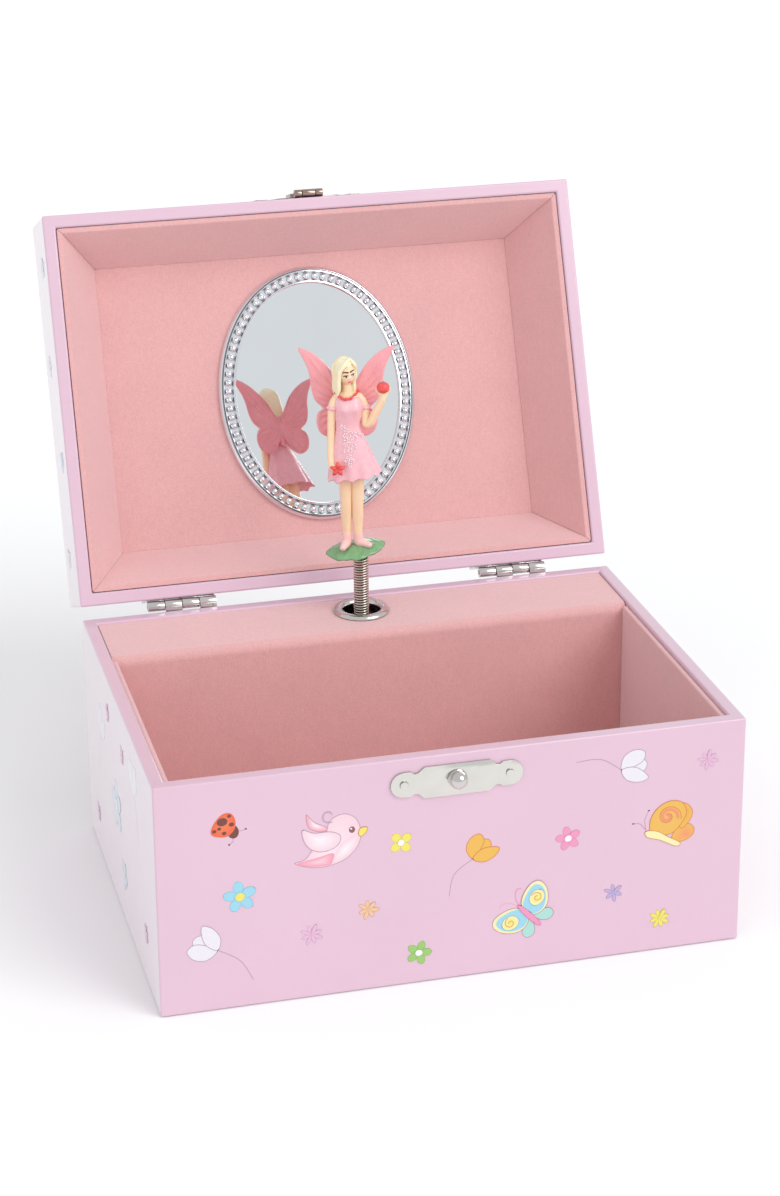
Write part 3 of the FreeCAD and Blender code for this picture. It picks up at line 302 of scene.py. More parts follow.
# Painted shade: a darker, browner nickel for the hasp, standing in for the shadow it lies in on the
# open lid.
SHADOWED_NICKEL = plated("nickel_painted_shade", srgb(168, 146, 136), 0.16, 0.28)
CAST = plated("cast_zinc", srgb(150, 150, 152), 0.45, 0.6)
BRASS = plated("brass", srgb(214, 180, 110), 0.22, 0.36)
NYLON = plastic("white_nylon", srgb(236, 234, 226), rough=0.4)
LEAF = leaf_green()
SKIN = plastic("skin_plastic", srgb(255, 221, 184), shade=0.02)
HAIR = plastic("hair_plastic", srgb(255, 240, 203), shade=0.04, size=1.2)
DRESS = plastic("dress_plastic", srgb(245, 189, 197), rough=0.28, shade=0.03, size=2.0)
WING = plastic("wing_plastic", srgb(242, 165, 171), rough=0.3, shade=0.04, size=4.0)
RED = plastic("red_paint", srgb(232, 84, 82), rough=0.25, shade=0.10, size=0.8, under=0.0)
BEADS = plastic("bead_paint", srgb(252, 222, 228), rough=0.25, shade=0.04, size=0.7)
SHOE = plastic("shoe_plastic", srgb(250, 201, 195), rough=0.3, shade=0.03)
LIP = plastic("lip_paint", srgb(226, 110, 120), rough=0.3, under=0.0)
DARK = plastic("eye_paint", srgb(58, 40, 40), rough=0.3, under=0.0)
WHITE = plastic("eye_white", srgb(250, 244, 240), rough=0.3, under=0.0)


# ---------------------------------------------------------------- mesh helpers

def through(knots, steps):
    """A smooth run through the knots, each a tuple of numbers, with steps per span."""
    run, last = [], len(knots) - 1
    for index in range(last):
        four = (knots[max(index - 1, 0)], knots[index], knots[index + 1],
                knots[min(index + 2, last)])
        for step in range(steps):
            t = step / steps
            run.append(tuple(0.5 * (2 * b + (c - a) * t + (2 * a - 5 * b + 4 * c - d) * t * t
                                    + (3 * b - a - 3 * c + d) * t ** 3)
                             for a, b, c, d in zip(*four)))
    return run + [tuple(knots[last])]


def circle(count, half_x=1.0, half_y=1.0):
    turns = [math.tau * index / count for index in range(count)]
    return [(half_x * math.cos(turn), half_y * math.sin(turn)) for turn in turns]


class Clay:
    """Points and faces gathered into one mesh."""

    def __init__(self):
        self.points, self.faces = [], []

    def add(self, points, faces):
        base = len(self.points)
        self.points += [Vector(point) for point in points]
        self.faces += [tuple(base + index for index in face) for face in faces]

    def rings(self, rings, closed=False):
        """Quads between rings of points, and a fan over each end unless closed on itself."""
        count = len(rings[0])
        faces = []
        pairs = len(rings) if closed else len(rings) - 1
        for row in range(pairs):
            after = (row + 1) % len(rings)
            for index in range(count):
                step = (index + 1) % count
                faces.append((row * count + index, row * count + step,
                              after * count + step, after * count + index))
        points = [point for ring in rings for point in ring]
        if not closed:
            for row, order in ((0, -1), (len(rings) - 1, 1)):
                hub = len(points)
                points.append(sum((Vector(p) for p in rings[row]), Vector()) / count)
                for index in range(count):
                    edge = (row * count + index, row * count + (index + 1) % count)
                    faces.append((*edge[::order], hub))
        self.add(points, faces)

    def loft(self, knots, sides=24, steps=4):
        """Level oval rings through knots of (x, y, z, half width, half depth)."""
        self.rings([[Vector((x + wide * across, y + deep * along, z))
                     for across, along in circle(sides)]
                    for x, y, z, wide, deep in through(knots, steps)])

    def tube(self, knots, sides=12, steps=5, domed=True, flat=1.0):
        """A round limb through knots of (x, y, z, radius); flat squashes its section."""
        run = through(knots, steps)
        spots, last = [Vector(knot[:3]) for knot in run], len(run) - 1
        stations = [(spots[i], run[i][3],
                     (spots[min(i + 1, last)] - spots[max(i - 1, 0)]).normalized())
                    for i in range(len(run))]

        def dome(end, out):
            spot, radius, way = stations[end]
            return [(spot + out * way * radius * math.sin(tilt), radius * math.cos(tilt), way)
                    for tilt in map(math.radians, (30, 60, 82))]

        if domed:
            stations = dome(0, -1)[::-1] + stations + dome(-1, 1)
        side = stations[0][2].orthogonal().normalized()
        rings = []
        for spot, radius, way in stations:
            side = (side - way * side.dot(way)).normalized()
            other = way.cross(side)
            rings.append([spot + radius * (a * side + b * flat * other)
                          for a, b in circle(sides)])
        self.rings(rings)

    def ball(self, centre, radii, sides=20, shape=None):
        """An upright ball or egg; shape may move each point of it."""
        rows = sides // 2
        rings = []
        for row in range(rows + 1):
            tilt = math.pi * (0.02 + 0.96 * row / rows)
            ring = []
            for across, along in circle(sides):
                spot = Vector((across * math.sin(tilt), along * math.sin(tilt),
                               -math.cos(tilt)))
                spot = Vector((spot.x * radii[0], spot.y * radii[1], spot.z * radii[2]))
                ring.append(Vector(centre) + (shape(spot) if shape else spot))
            rings.append(ring)
        self.rings(rings)

    def lathe(self, profile, centre, axis=(0, 0, 1), sides=48):
        """A turned solid from (radius, distance along the axis), closed between its ends."""
        turn = Vector((0, 0, 1)).rotation_difference(Vector(axis)).to_matrix()
        self.rings([[Vector(centre) + turn @ Vector((radius * a, radius * b, height))
                     for a, b in circle(sides)] for radius, height in profile], closed=True)

    def block(self, corners):
        """A six-sided solid from its four low and its four high corners."""
        self.add(corners, [(3, 2, 1, 0), (4, 5, 6, 7), (0, 1, 5, 4), (1, 2, 6, 5),
                           (2, 3, 7, 6), (3, 0, 4, 7)])

    def mesh(self, name, turn=Matrix.Identity(4)):
        mesh = bpy.data.meshes.new(name)
        mesh.from_pydata([(turn @ point) * MM for point in self.points], [], self.faces)
        return mesh

    def piece(self, name, material, body, slot, turn=Matrix.Identity(4), sharp=None, nodes=()):
        """An object that rides on a CAD body and stands for some of its nodes."""
        mesh = self.mesh(name, turn)
        mesh.validate()
        mesh.shade_smooth()
        if sharp:
            mesh.set_sharp_from_angle(angle=math.radians(sharp))
        return placed(name, mesh, material, body, nodes)


def shown(name, mesh):
    obj = bpy.data.objects.new(name, mesh)
    bpy.context.scene.collection.objects.link(obj)
    return obj


def finished(mesh, material):
    mesh.materials.clear()
    mesh.materials.append(material)


def placed(name, mesh, material, body, nodes=()):
    obj = shown(name, mesh)
    finished(mesh, material)
    if body:
        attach(obj, body)
    if nodes:
        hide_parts(*nodes)
    return obj


def eased(obj, width, segments=3, angle=30):
    """Rounds an object's sharp edges, width in millimetres."""
    bevel = obj.modifiers.new("eased_edges", "BEVEL")
    bevel.width = width * MM
    bevel.segments = segments
    bevel.limit_method = "ANGLE"
    bevel.angle_limit = math.radians(angle)
    bevel.harden_normals = True


def corners_of(low, high):
    return [(x, y, z) for z in (low[2], high[2])
            for x, y in ((low[0], low[1]), (high[0], low[1]), (high[0], high[1]),
                         (low[0], high[1]))]


# ---------------------------------------------------------------- camera, light and floor

def camera():
    """The photo's view, solved from the corners of the box and the lid."""
    azimuth, elevation, roll = math.radians(-14.01), math.radians(20.62), -0.0102
    look = Vector((-math.sin(azimuth) * math.cos(elevation),
                   math.cos(azimuth) * math.cos(elevation), -math.sin(elevation)))
    turn = look.to_track_quat("-Z", "Y").to_matrix().to_4x4()
    data = bpy.data.cameras.new("studio_camera")
    data.sensor_fit = "VERTICAL"
    data.sensor_height = 36
    data.lens = 83.73
    data.shift_x = 0.0215
    data.shift_y = -0.0705
    data.clip_start = 0.05
    made = shown("studio_camera", data)
    made.matrix_world = (Matrix.Translation(Vector((-169.1, -641.0, 354.1)) * MM) @ turn
                         @ Matrix.Rotation(roll, 4, "Z"))
    bpy.context.scene.camera = made


def soft_sun(name, toward, strength, spread, mirrored=True):
    """Even light from one direction, as from a large diffuser spread degrees across."""
    data = bpy.data.lights.new(name, "SUN")
    data.energy = strength
    data.angle = math.radians(spread)
    made = shown(name, data)
    made.rotation_euler = Vector(toward).to_track_quat("Z", "Y").to_euler()
    made.visible_glossy = mirrored


def studio():
    scene = bpy.context.scene
    scene.view_settings.view_transform = "Standard"
    world = bpy.data.worlds.new("studio_world")
    world.use_nodes = True
    sky = world.node_tree.nodes["Background"]
    sky.inputs["Color"].default_value = (0.96, 0.98, 1.0, 1)
    sky.inputs["Strength"].default_value = 0.78
    scene.world = world
    soft_sun("key_light", (0.62, -0.72, 0.75), 1.2, 40)
    soft_sun("fill_light", (-0.5, -0.75, 0.65), 0.5, 90, mirrored=False)

    reach, below = 4 / MM, 0.2 * MM
    clay = Clay()
    clay.add([(-reach, -reach, 0), (reach, -reach, 0), (reach, reach, 0), (-reach, reach, 0)],
             [(0, 1, 2, 3)])
    ground = shown("studio_floor", clay.mesh("studio_floor"))
    ground.location.z = -below
    finished(ground.data, floor_finish())


# ---------------------------------------------------------------- paper-wrapped case and lid

def wrapped_tray(name, closed, rim, board, body, nodes, turn=Matrix.Identity(4)):
    """A seamless papered box, from its closed face to the rim of its open side."""
    rows = [[Vector((x * (HALF_W - inset), y * (HALF_D - inset), level))
             for x, y in ((-1, -1), (1, -1), (1, 1), (-1, 1))]
            for inset, level in ((0, closed), (0, rim), (WALL, rim), (WALL, closed + board))]
    faces = [(3, 2, 1, 0), (12, 13, 14, 15)]
    for row in range(3):
        for index in range(4):
            after = (index + 1) % 4
            faces.append((row * 4 + index, row * 4 + after, row * 4 + 4 + after,
                          row * 4 + 4 + index))
    clay = Clay()
    clay.add([point for row in rows for point in row],
             [face if closed < rim else face[::-1] for face in faces])
    return clay.piece(name, PAPER, body, "paper_board", turn, nodes=nodes)


def pierced(obj, holes):
    """Cuts round holes, each (point, direction, radius, length), out of a mesh."""
    cutter = Clay()
    for point, way, radius, length in holes:
        start = Vector(point)
        turn = Vector((0, 0, 1)).rotation_difference(Vector(way)).to_matrix()
        cutter.rings([[start + turn @ Vector((a, b, height))
                       for a, b in circle(48, radius, radius)] for height in (0, length)])
    tool = shown("cutter", cutter.mesh("cutter"))
    boolean = obj.modifiers.new("holes", "BOOLEAN")
    boolean.object = tool
    boolean.solver = "EXACT"
    bpy.context.view_layer.update()
    shaped = bpy.data.meshes.new_from_object(
        obj.evaluated_get(bpy.context.evaluated_depsgraph_get()))
    obj.modifiers.remove(boolean)
    obj.data = shaped
    bpy.data.objects.remove(tool)


def case_and_lid():
    key_hole, wrap = 2.6, 0.55
    case = wrapped_tray("papered_case", 0, CASE_TOP, FLOOR_BOARD, "box",
                        ["box_front", "box_back", "box_left", "box_right", "box_bottom"])
    middle = sum(box_mm("key_arbor"), Vector()) / 2
    pierced(case, [((middle.x, INNER_Y - 1, middle.z), (0, 1, 0), key_hole, WALL + 2)])
    eased(case, wrap, 4)
    lid = wrapped_tray("papered_lid", LID_TOP, LID_LOW, -LID_BOARD, "lid",
                       ["lid_front", "lid_back", "lid_left", "lid_right", "lid_top"], lid_turn)
    eased(lid, wrap, 4)


# ---------------------------------------------------------------- prints on the paper

PALE = srgb(214, 170, 200)
FINE_LINE = srgb(190, 140, 170)
YELLOW, ORANGE = srgb(246, 232, 108), srgb(243, 188, 82)
ROSE, SKY, GREEN = srgb(244, 156, 194), srgb(160, 218, 238), srgb(158, 206, 112)
VIOLET, CREAM = srgb(196, 176, 220), srgb(249, 242, 180)
PETAL, PETAL_LINE = srgb(240, 236, 244), srgb(188, 160, 178)
SCARLET, BROWN = srgb(244, 104, 66), srgb(118, 64, 54)
BLUSH, BLUSH_DEEP, BELLY = srgb(250, 214, 224), srgb(248, 158, 178), srgb(250, 246, 250)
CORAL, AMBER_LINE = srgb(246, 150, 112), srgb(216, 130, 72)


def oval(x, y, half_x, half_y, tilt=0.0, count=28):
    lean = math.radians(tilt)
    return [(x + a * math.cos(lean) - b * math.sin(lean), y + a * math.sin(lean)
             + b * math.cos(lean)) for a, b in circle(count, half_x, half_y)]


def loop(knots, steps=6):
    """A smooth closed outline through the knots."""
    count = len(knots)
    wrapped = through([knots[index % count] for index in range(-2, count + 3)], steps)
    return wrapped[2 * steps:(count + 2) * steps]


def spiral(x, y, start, turns, first, growth, count=40):
    run = []
    for index in range(count + 1):
        turn = start + math.tau * turns * index / count
        reach = first * growth ** (index / count)
        run.append((x + reach * math.cos(turn), y + reach * math.sin(turn)))
    return run


class Print:
    """Ink shapes laid on one face of the box; each new shape lies a hair above the last."""

    # How far shapes stand apart, how deep their undersides sit, and how dark the ink is
    thick, foot, strength = 0.012, -0.01, 0.87

    def __init__(self, origin, across, up):
        self.origin, self.across, self.up = Vector(origin), Vector(across), Vector(up)
        self.out = self.across.cross(self.up)
        self.clay, self.inks = Clay(), []
        self.motif(0, 0)

    def motif(self, x, y, size=1.0, tilt=0.0):
        """Starts a motif: later shapes are moved, sized and turned with it."""
        self.spot, self.size, self.tilt = Vector((x, y)), size, math.radians(tilt)
        self.layer = 0

    def next_height(self):
        self.layer += 1
        return self.layer * self.thick

    def at(self, point, height):
        turned = Matrix.Rotation(self.tilt, 2) @ (point * self.size) + self.spot
        return self.origin + self.across * turned.x + self.up * turned.y + self.out * height

    def fill(self, outline, rim, core=None, heart=None):
        """A flat shape whose colour runs from its rim to its heart."""
        core = core or rim
        twice_area = sum(a[0] * b[1] - a[1] * b[0]
                         for a, b in zip(outline, outline[1:] + outline[:1]))
        points = [Vector(point) for point in (outline if twice_area > 0 else outline[::-1])]
        middle = Vector(heart) if heart else sum(points, Vector((0, 0))) / len(points)
        height = self.next_height()
        rings, colours = [[self.at(point, self.foot) for point in points]], [rim]
        for share in (1.0, 0.9, 0.65, 0.35, 0.1):
            rings.append([self.at(middle + (point - middle) * share, height) for point in points])
            colours.append(tuple(a + (b - a) * (1 - share) for a, b in zip(rim, core)))
        self.clay.rings(rings)
        for colour in colours:
            self.inks += [colour] * len(points)
        self.inks += [rim, colours[-1]]

    def stroke(self, points, colour, width=0.17, closed=False):
        """A drawn line, tapered at its ends unless it closes on itself."""
        points = [Vector(point) for point in points]
        if closed:
            points += points[:2]
        height, last = self.next_height(), len(points) - 1
        rings = []
        for index, point in enumerate(points):
            way = points[min(index + 1, last)] - points[max(index - 1, 0)]
            side = Vector((-way.y, way.x)).normalized() * width / 2 / self.size
            if not closed and index in (0, last):
                side *= 0.5
            rings.append([self.at(point + way, level) for way, level in (
                (-side, self.foot), (side, self.foot), (side, height), (-side, height))])
        self.clay.rings(rings)
        self.inks += [colour] * (4 * len(rings) + 2)

    def outlined(self, outline, rim, line, core=None, heart=None, width=0.17):
        self.fill(outline, rim, core, heart)
        self.stroke(outline, line, width, closed=True)

    def piece(self, name, body, turn=Matrix.Identity(4)):
        made = self.clay.piece(name, INK, body, "paper_board", turn, 60)
        layer = made.data.color_attributes.new("ink", "FLOAT_COLOR", "POINT")
        for index, colour in enumerate(self.inks):
            layer.data[index].color = scaled(colour, self.strength)


def round_a_flower(count):
    """Angle in degrees and direction of each petal, from the top."""
    for index in range(count):
        turn = 360 * index / count + 90
        yield turn, Vector((math.cos(math.radians(turn)), math.sin(math.radians(turn))))


def flower(ink, petals, colour, line, wide, heart):
    """Rounded petals round a middle."""
    for turn, way in round_a_flower(petals):
        ink.outlined(oval(*(way * 0.58), 0.42, wide, turn), colour, line, width=0.1)
    ink.fill(oval(0, 0, 0.3, 0.3), colour)
    ink.outlined(oval(0, 0, 0.3, 0.27, 20), heart, line, width=0.08)


def rays(ink, count, colour, line, wide):
    """Narrow petals, by turns short and long, that cross at the middle."""
    for index, (turn, way) in enumerate(round_a_flower(count)):
        length = 1.0 if index % 2 else 0.88
        ink.fill(oval(*(way * 0.5 * length), 0.5 * length, wide, turn), colour)
        ink.stroke(oval(*(way * 0.55 * length), 0.42 * length, wide, turn), line, 0.12, True)


def tulip(ink, colour, line, core=None):
    """A cup of three petals that opens upward, from its foot at (0, 0)."""
    ink.outlined(loop([(-0.25, 0.9), (0.05, 1.12), (0.35, 0.9), (0.3, 0.4), (-0.2, 0.4)]), colour,
                 line, core)
    ink.outlined(loop([(0, 0), (-0.55, 0.2), (-0.72, 0.72), (-0.5, 1.12), (-0.12, 0.98),
                       (0.02, 0.5)]), colour, line, core)
    ink.outlined(loop([(0, 0), (0.5, 0.12), (0.78, 0.6), (0.72, 1.05), (0.3, 0.85),
                       (0.02, 0.5)]), colour, line, core)


def stemmed_tulip(ink, foot, stem_end, size, tilt, colour, line, bow):
    """A tulip whose stem runs from its foot to the stem's end."""
    ink.motif(0, 0)
    foot, end = Vector(foot), Vector(stem_end)
    middle = (foot + end) / 2 + bow * Vector((foot.y - end.y, end.x - foot.x))
    ink.stroke(through([tuple(foot), tuple(middle), tuple(end)], 8), PETAL_LINE, 0.22)
    ink.motif(foot.x, foot.y, size, tilt)
    tulip(ink, colour, line)


def ladybird(ink, x, y, size=1.0, tilt=0.0):
    ink.motif(x, y, size, tilt)
    for knots in (((1.9, -0.3), (3.1, -0.4), (4.1, 0.2)), ((1.5, -1.6), (2.3, -2.6), (1.7, -3.6))):
        ink.stroke(through(knots, 5), FINE_LINE, 0.14)
        ink.fill(oval(*knots[-1], 0.2, 0.2, count=12), BROWN)
    ink.fill(oval(1.7, -0.75, 1.15, 1.5, 30), BROWN)
    ink.fill(loop([(-2.6, -1.2), (-2.3, 0.6), (-1.2, 2.5), (0.4, 2.9), (1.6, 1.6), (1.9, -0.2),
                   (0.9, -1.9), (-0.9, -2.35), (-2.2, -2.1)]), SCARLET, srgb(250, 128, 84))
    for dot_x, dot_y, half in ((-0.9, 0.9, 1.05), (0.15, 2.35, 0.42), (1.05, 0.7, 0.52),
                               (0.1, -1.35, 0.45), (-1.1, -0.6, 0.38), (-1.9, -1.3, 0.42)):
        ink.fill(oval(dot_x, dot_y, half, 0.82 * half, 25, 18), BROWN)


def bird(ink, x, y, size=1.0, tilt=0.0):
    ink.motif(x, y, size, tilt)
    far_wing = [(-6.2, 7.6), (-4.2, 5.4), (-0.6, 3.2), (-2.6, 2.6), (-5.6, 4.0)]
    ink.outlined(loop(far_wing), BLUSH_DEEP, PETAL_LINE, BELLY)
    body = loop([(-9.2, -5.2), (-6.6, -4.3), (-4.6, -1.8), (-1.6, 1.2), (-0.4, 5.2), (3.0, 6.7),
                 (6.0, 5.2), (7.3, 1.6), (6.6, -2.2), (3.6, -5.4), (-1.0, -6.9), (-5.2, -6.7)])
    ink.outlined(body, BLUSH, PETAL_LINE, srgb(252, 232, 240), (-0.8, -3.8))
    ink.fill(loop([(6.6, 0.4), (5.9, -2.4), (3.2, -5.2), (0.2, -6.3), (1.0, -3.4), (3.4, -0.6)]),
             BLUSH, BELLY)
    ink.fill(loop([(-8.8, -5.3), (-5.2, -6.5), (-1.0, -6.7), (0.0, -6.0), (0.4, -3.6),
                   (-3.2, -4.2)]), BLUSH_DEEP, BLUSH)
    wing = loop([(-7.2, 3.6), (-4.4, 2.5), (-0.2, 2.3), (2.2, 0.9), (1.4, -1.6), (-1.8, -2.8),
                 (-4.9, -2.0), (-6.8, 0.4)])
    ink.outlined(wing, BLUSH, PETAL_LINE, BELLY, (-3.0, 0.4))
    ink.fill(oval(5.1, 2.2, 0.75, 0.85, count=20), srgb(150, 92, 92))
    ink.fill(oval(4.9, 2.5, 0.25, 0.25, count=12), BELLY)
    ink.outlined(loop([(6.7, 0.9), (7.2, 2.3), (8.9, 2.4), (8.6, 1.1), (7.4, 0.1)]), YELLOW,
                 AMBER_LINE, width=0.14)
    ink.stroke(spiral(-0.7, 6.6, -1.0, -0.8, 1.9, 0.5, 24), PETAL_LINE, 0.16)


def butterfly(ink, x, y, size=1.0, tilt=0.0):
    ink.motif(x, y, size, tilt)
    for side in (-1, 1):
        def turned(points, side=side):
            return [(side * a, b) for a, b in points]

        ink.stroke(turned(through([(0.2, 3.4), (1.0, 5.6), (2.6, 6.9), (3.6, 6.2)], 6)), ROSE, 0.14)
        ink.outlined(turned(loop([(0.5, -1.0), (2.8, -1.8), (4.6, -3.0), (4.4, -4.8), (2.6, -5.2),
                                  (1.0, -3.6)])), srgb(176, 226, 214), FINE_LINE)
        wing = turned(loop([(0.4, 2.6), (2.6, 4.6), (6.0, 5.4), (8.0, 4.2), (7.8, 1.4), (5.6, -1.4),
                            (2.8, -2.2), (0.5, -0.8)]))
        ink.outlined(wing, CREAM, FINE_LINE)
        ink.fill(turned(loop([(0.5, 2.3), (2.8, 3.9), (5.8, 4.6), (7.2, 3.6), (7.0, 1.3),
                              (5.1, -1.0), (2.7, -1.8), (0.6, -0.6)])), SKY)
        ink.outlined(turned(oval(4.5, 1.5, 2.2, 1.9, 20)), CREAM, srgb(120, 180, 210), YELLOW)
        ink.stroke(turned(spiral(4.5, 1.5, 0.4, 1.25, 0.4, 4.0)), AMBER_LINE, 0.16)
    ink.outlined(oval(0, -0.6, 0.72, 4.2), ROSE, srgb(222, 110, 160), width=0.12)


def snail(ink, x, y, size=1.0, tilt=0.0):
    ink.motif(x, y, size, tilt)
    for knots in (((-6.2, -1.0), (-6.6, 1.8), (-5.6, 4.3)), ((-6.3, -0.9), (-7.8, 0.9), (-9.6, 1.2))):
        ink.stroke(through(knots, 6), FINE_LINE, 0.16)
        ink.fill(oval(*knots[-1], 0.28, 0.2, count=12), BROWN)
    ink.outlined(loop([(1.6, -1.6), (4.3, -0.4), (6.2, -1.9), (5.8, -3.9), (3.2, -5.2),
                       (0.6, -4.2)]), ORANGE, AMBER_LINE, CORAL, (4.6, -3.6))
    ink.outlined(loop([(1.2, 5.0), (4.0, 5.0), (5.7, 2.8), (5.0, 0.2), (2.6, -1.4)]), ORANGE,
                 AMBER_LINE, srgb(240, 168, 70))
    ink.outlined(loop([(-4.6, -2.2), (-5.2, 1.4), (-3.4, 4.6), (-0.2, 6.2), (3.0, 5.4), (4.1, 2.4),
                       (2.4, -0.9), (-0.2, -2.8)]), ORANGE, AMBER_LINE, srgb(240, 190, 96))
    ink.outlined(loop([(-6.3, -1.3), (-3.4, -1.6), (-0.6, -3.4), (2.7, -5.5), (1.6, -6.3),
                       (-2.4, -4.2), (-5.9, -2.9)]), CREAM, AMBER_LINE, width=0.14)
    ink.stroke(spiral(-0.7, 2.0, 2.2, -1.4, 0.4, 7.0, 48), CORAL, 0.75)
    ink.stroke(spiral(-0.7, 2.0, 2.2, -1.4, 0.75, 4.9, 48), AMBER_LINE, 0.14)


def front_prints():
    """What is scattered over the front of the case."""
    ink = Print((0, -HALF_D, 0), (1, 0, 0), (0, 0, 1))
    ladybird(ink, -57.6, 49.7, 1.25, -16)
    bird(ink, -31.5, 42.6)
    butterfly(ink, 18.5, 15.3, 1.04, 43)
    snail(ink, 55.6, 35.4, 1.02)
    tiny_flowers(ink, [
        (-14.1, 39.6, 3.1, 40, 4, YELLOW, BELLY), (-54.5, 30.4, 4.2, 8, 5, SKY, YELLOW),
        (28.8, 34.9, 3.3, 12, 5, ROSE, BELLY), (-9.7, 8.4, 3.3, -20, 5, GREEN, BELLY)])
    ray_flowers(ink, [
        (-22.5, 22.4, 2.9, 6, 7, srgb(246, 200, 160)), (41.0, 18.1, 2.7, 8, 6, VIOLET),
        (53.5, 9.0, 2.9, 15, 8, YELLOW), (-36.9, 17.5, 3.0, 20, 8, None),
        (65.1, 51.9, 2.8, 35, 8, None)])
    stemmed_tulip(ink, (4.2, 32.6), (-1.9, 23.0), 5.6, -38, ORANGE, AMBER_LINE, -0.18)
    stemmed_tulip(ink, (-60.4, 16.6), (-51.7, 7.1), 6.2, 62, PETAL, PETAL_LINE, 0.12)
    stemmed_tulip(ink, (42.4, 51.9), (30.5, 55.5), 6.0, -78, PETAL, PETAL_LINE, -0.15)
    ink.piece("front_prints", "box")


def tiny_flowers(ink, places):
    for x, y, size, tilt, petals, colour, heart in places:
        ink.motif(x, y, size, tilt)
        flower(ink, petals, colour, scaled(colour, 0.78), 1.15 / petals + 0.08, heart)


def ray_flowers(ink, places):
    """Ray flowers; those without a colour are drawn as pale outlines."""
    for x, y, size, tilt, petals, colour in places:
        ink.motif(x, y, size, tilt)
        if colour:
            rays(ink, petals, colour, scaled(colour, 0.72), 0.17)
        else:
            rays(ink, petals, srgb(236, 190, 216), PALE, 0.14)


def scattered(ink, half, height, seed):
    """The same kinds of motifs, spread over another face in loose rows."""
    picks = random.Random(seed)
    spacing, shake = 21, 2.5
    tints, ray_tints = (YELLOW, SKY, ROSE, GREEN), (ORANGE, VIOLET, YELLOW, None)
    columns, rows = round(2 * half / spacing), round(height / spacing)
    for row in range(rows):
        for column in range(columns):
            x = -half + (column + 0.5) * 2 * half / columns + picks.uniform(-shake, shake)
            y = (row + 0.5) * height / rows + picks.uniform(-shake, shake)
            kind = (column * 3 + row * 5 + seed) % 8
            tilt = picks.uniform(-25, 25)
            if kind == 0:
                ladybird(ink, x, y, 1.0, tilt)
            elif kind == 2:
                bird(ink, x, y, 0.8, tilt * 0.3)
            elif kind == 4:
                butterfly(ink, x, y, 0.75, tilt + 20)
            elif kind == 6:
                snail(ink, x, y, 0.8, tilt * 0.3)
            elif kind == 7:
                stemmed_tulip(ink, (x, y), (x + 5, max(y - 9, 2)), 5.2, tilt,
                              picks.choice((ORANGE, PETAL)), PETAL_LINE, 0.15)
            elif kind % 2:
                tiny_flowers(ink, [(x, y, 3.2, tilt, 5, tints[(row + column) % 4], BELLY)])
            else:
                ray_flowers(ink, [(x, y, 2.8, tilt, 6, ray_tints[(row + column) % 4])])


def other_prints():
    """Prints on the sides, the back and the top of the lid."""
    low, high = LID_LOW + 0.5, LID_TOP
    # Pale prints on the case's left side: partly their own colour, partly painted sheen for the glare
    # that whitens that side.
    ink = Print((-HALF_W, 0, 0), (0, -1, 0), (0, 0, 1))
    pale_blue = srgb(206, 224, 242)
    stemmed_tulip(ink, (25, 47), (29, 34), 7.5, 12, PETAL, PETAL, 0.15)
    stemmed_tulip(ink, (-27, 40), (-31, 29), 7.0, -15, PETAL, PETAL, -0.15)
    tiny_flowers(ink, [(-4, 30, 7.0, 10, 5, pale_blue, PETAL), (4, 14, 4.2, 40, 5, pale_blue, PETAL)])
    ray_flowers(ink, [(-38, 12, 3.0, 0, 8, None), (36, 14, 3.0, 20, 8, None),
                      (8, 50, 2.8, 0, 8, None), (-14, 52, 2.8, 30, 8, None)])
    ink.piece("left_prints", "box")
    for name, origin, across, half, seed in (
            ("right", (HALF_W, 0, 0), (0, 1, 0), HALF_D, 5),
            ("back", (0, HALF_D, 0), (-1, 0, 0), HALF_W, 9)):
        ink = Print(origin, across, (0, 0, 1))
        scattered(ink, half - 3, CASE_TOP - 2, seed)
        ink.piece(name + "_prints", "box")
    ink = Print((0, -HALF_D + 3, high), (1, 0, 0), (0, 1, 0))
    scattered(ink, HALF_W - 4, 2 * HALF_D - 6, 14)
    ink.piece("lid_top_prints", "lid", lid_turn)
    # The lid's left-side prints take pale tints: partly their own colour, partly painted sheen, as on
    # the case's left side.
    for name, origin, across, tints in (
            ("left", (-HALF_W, 0, low), (0, -1, 0), (PETAL, pale_blue, PETAL, pale_blue)),
            ("right", (HALF_W, 0, low), (0, 1, 0), (SKY, YELLOW, ROSE, GREEN))):
        ink = Print(origin, across, (0, 0, 1))
        for column in range(4):
            x = -HALF_D + (column + 0.5) * HALF_D / 2
            tiny_flowers(ink, [(x, 11 + 3 * (-1) ** column, 3.0, 20 * column, 5,
                                tints[column], BELLY)])
        ink.piece(f"lid_{name}_prints", "lid", lid_turn)


# ---------------------------------------------------------------- velour linings

def soft_board(name, corners, node, body, turn=Matrix.Identity(4), ease=0.6):
    """A velour-covered lining board with soft edges."""
    clay = Clay()
    clay.block(corners)
    eased(clay.piece(name, VELOUR, body, "velour", turn, nodes=[node]), ease, 4)


def case_linings():
    for name in ("floor", "front", "left", "right"):
        low, high = box_mm(name + "_lining")
        soft_board(name + "_velour", corners_of(low, high), name + "_lining", "box")


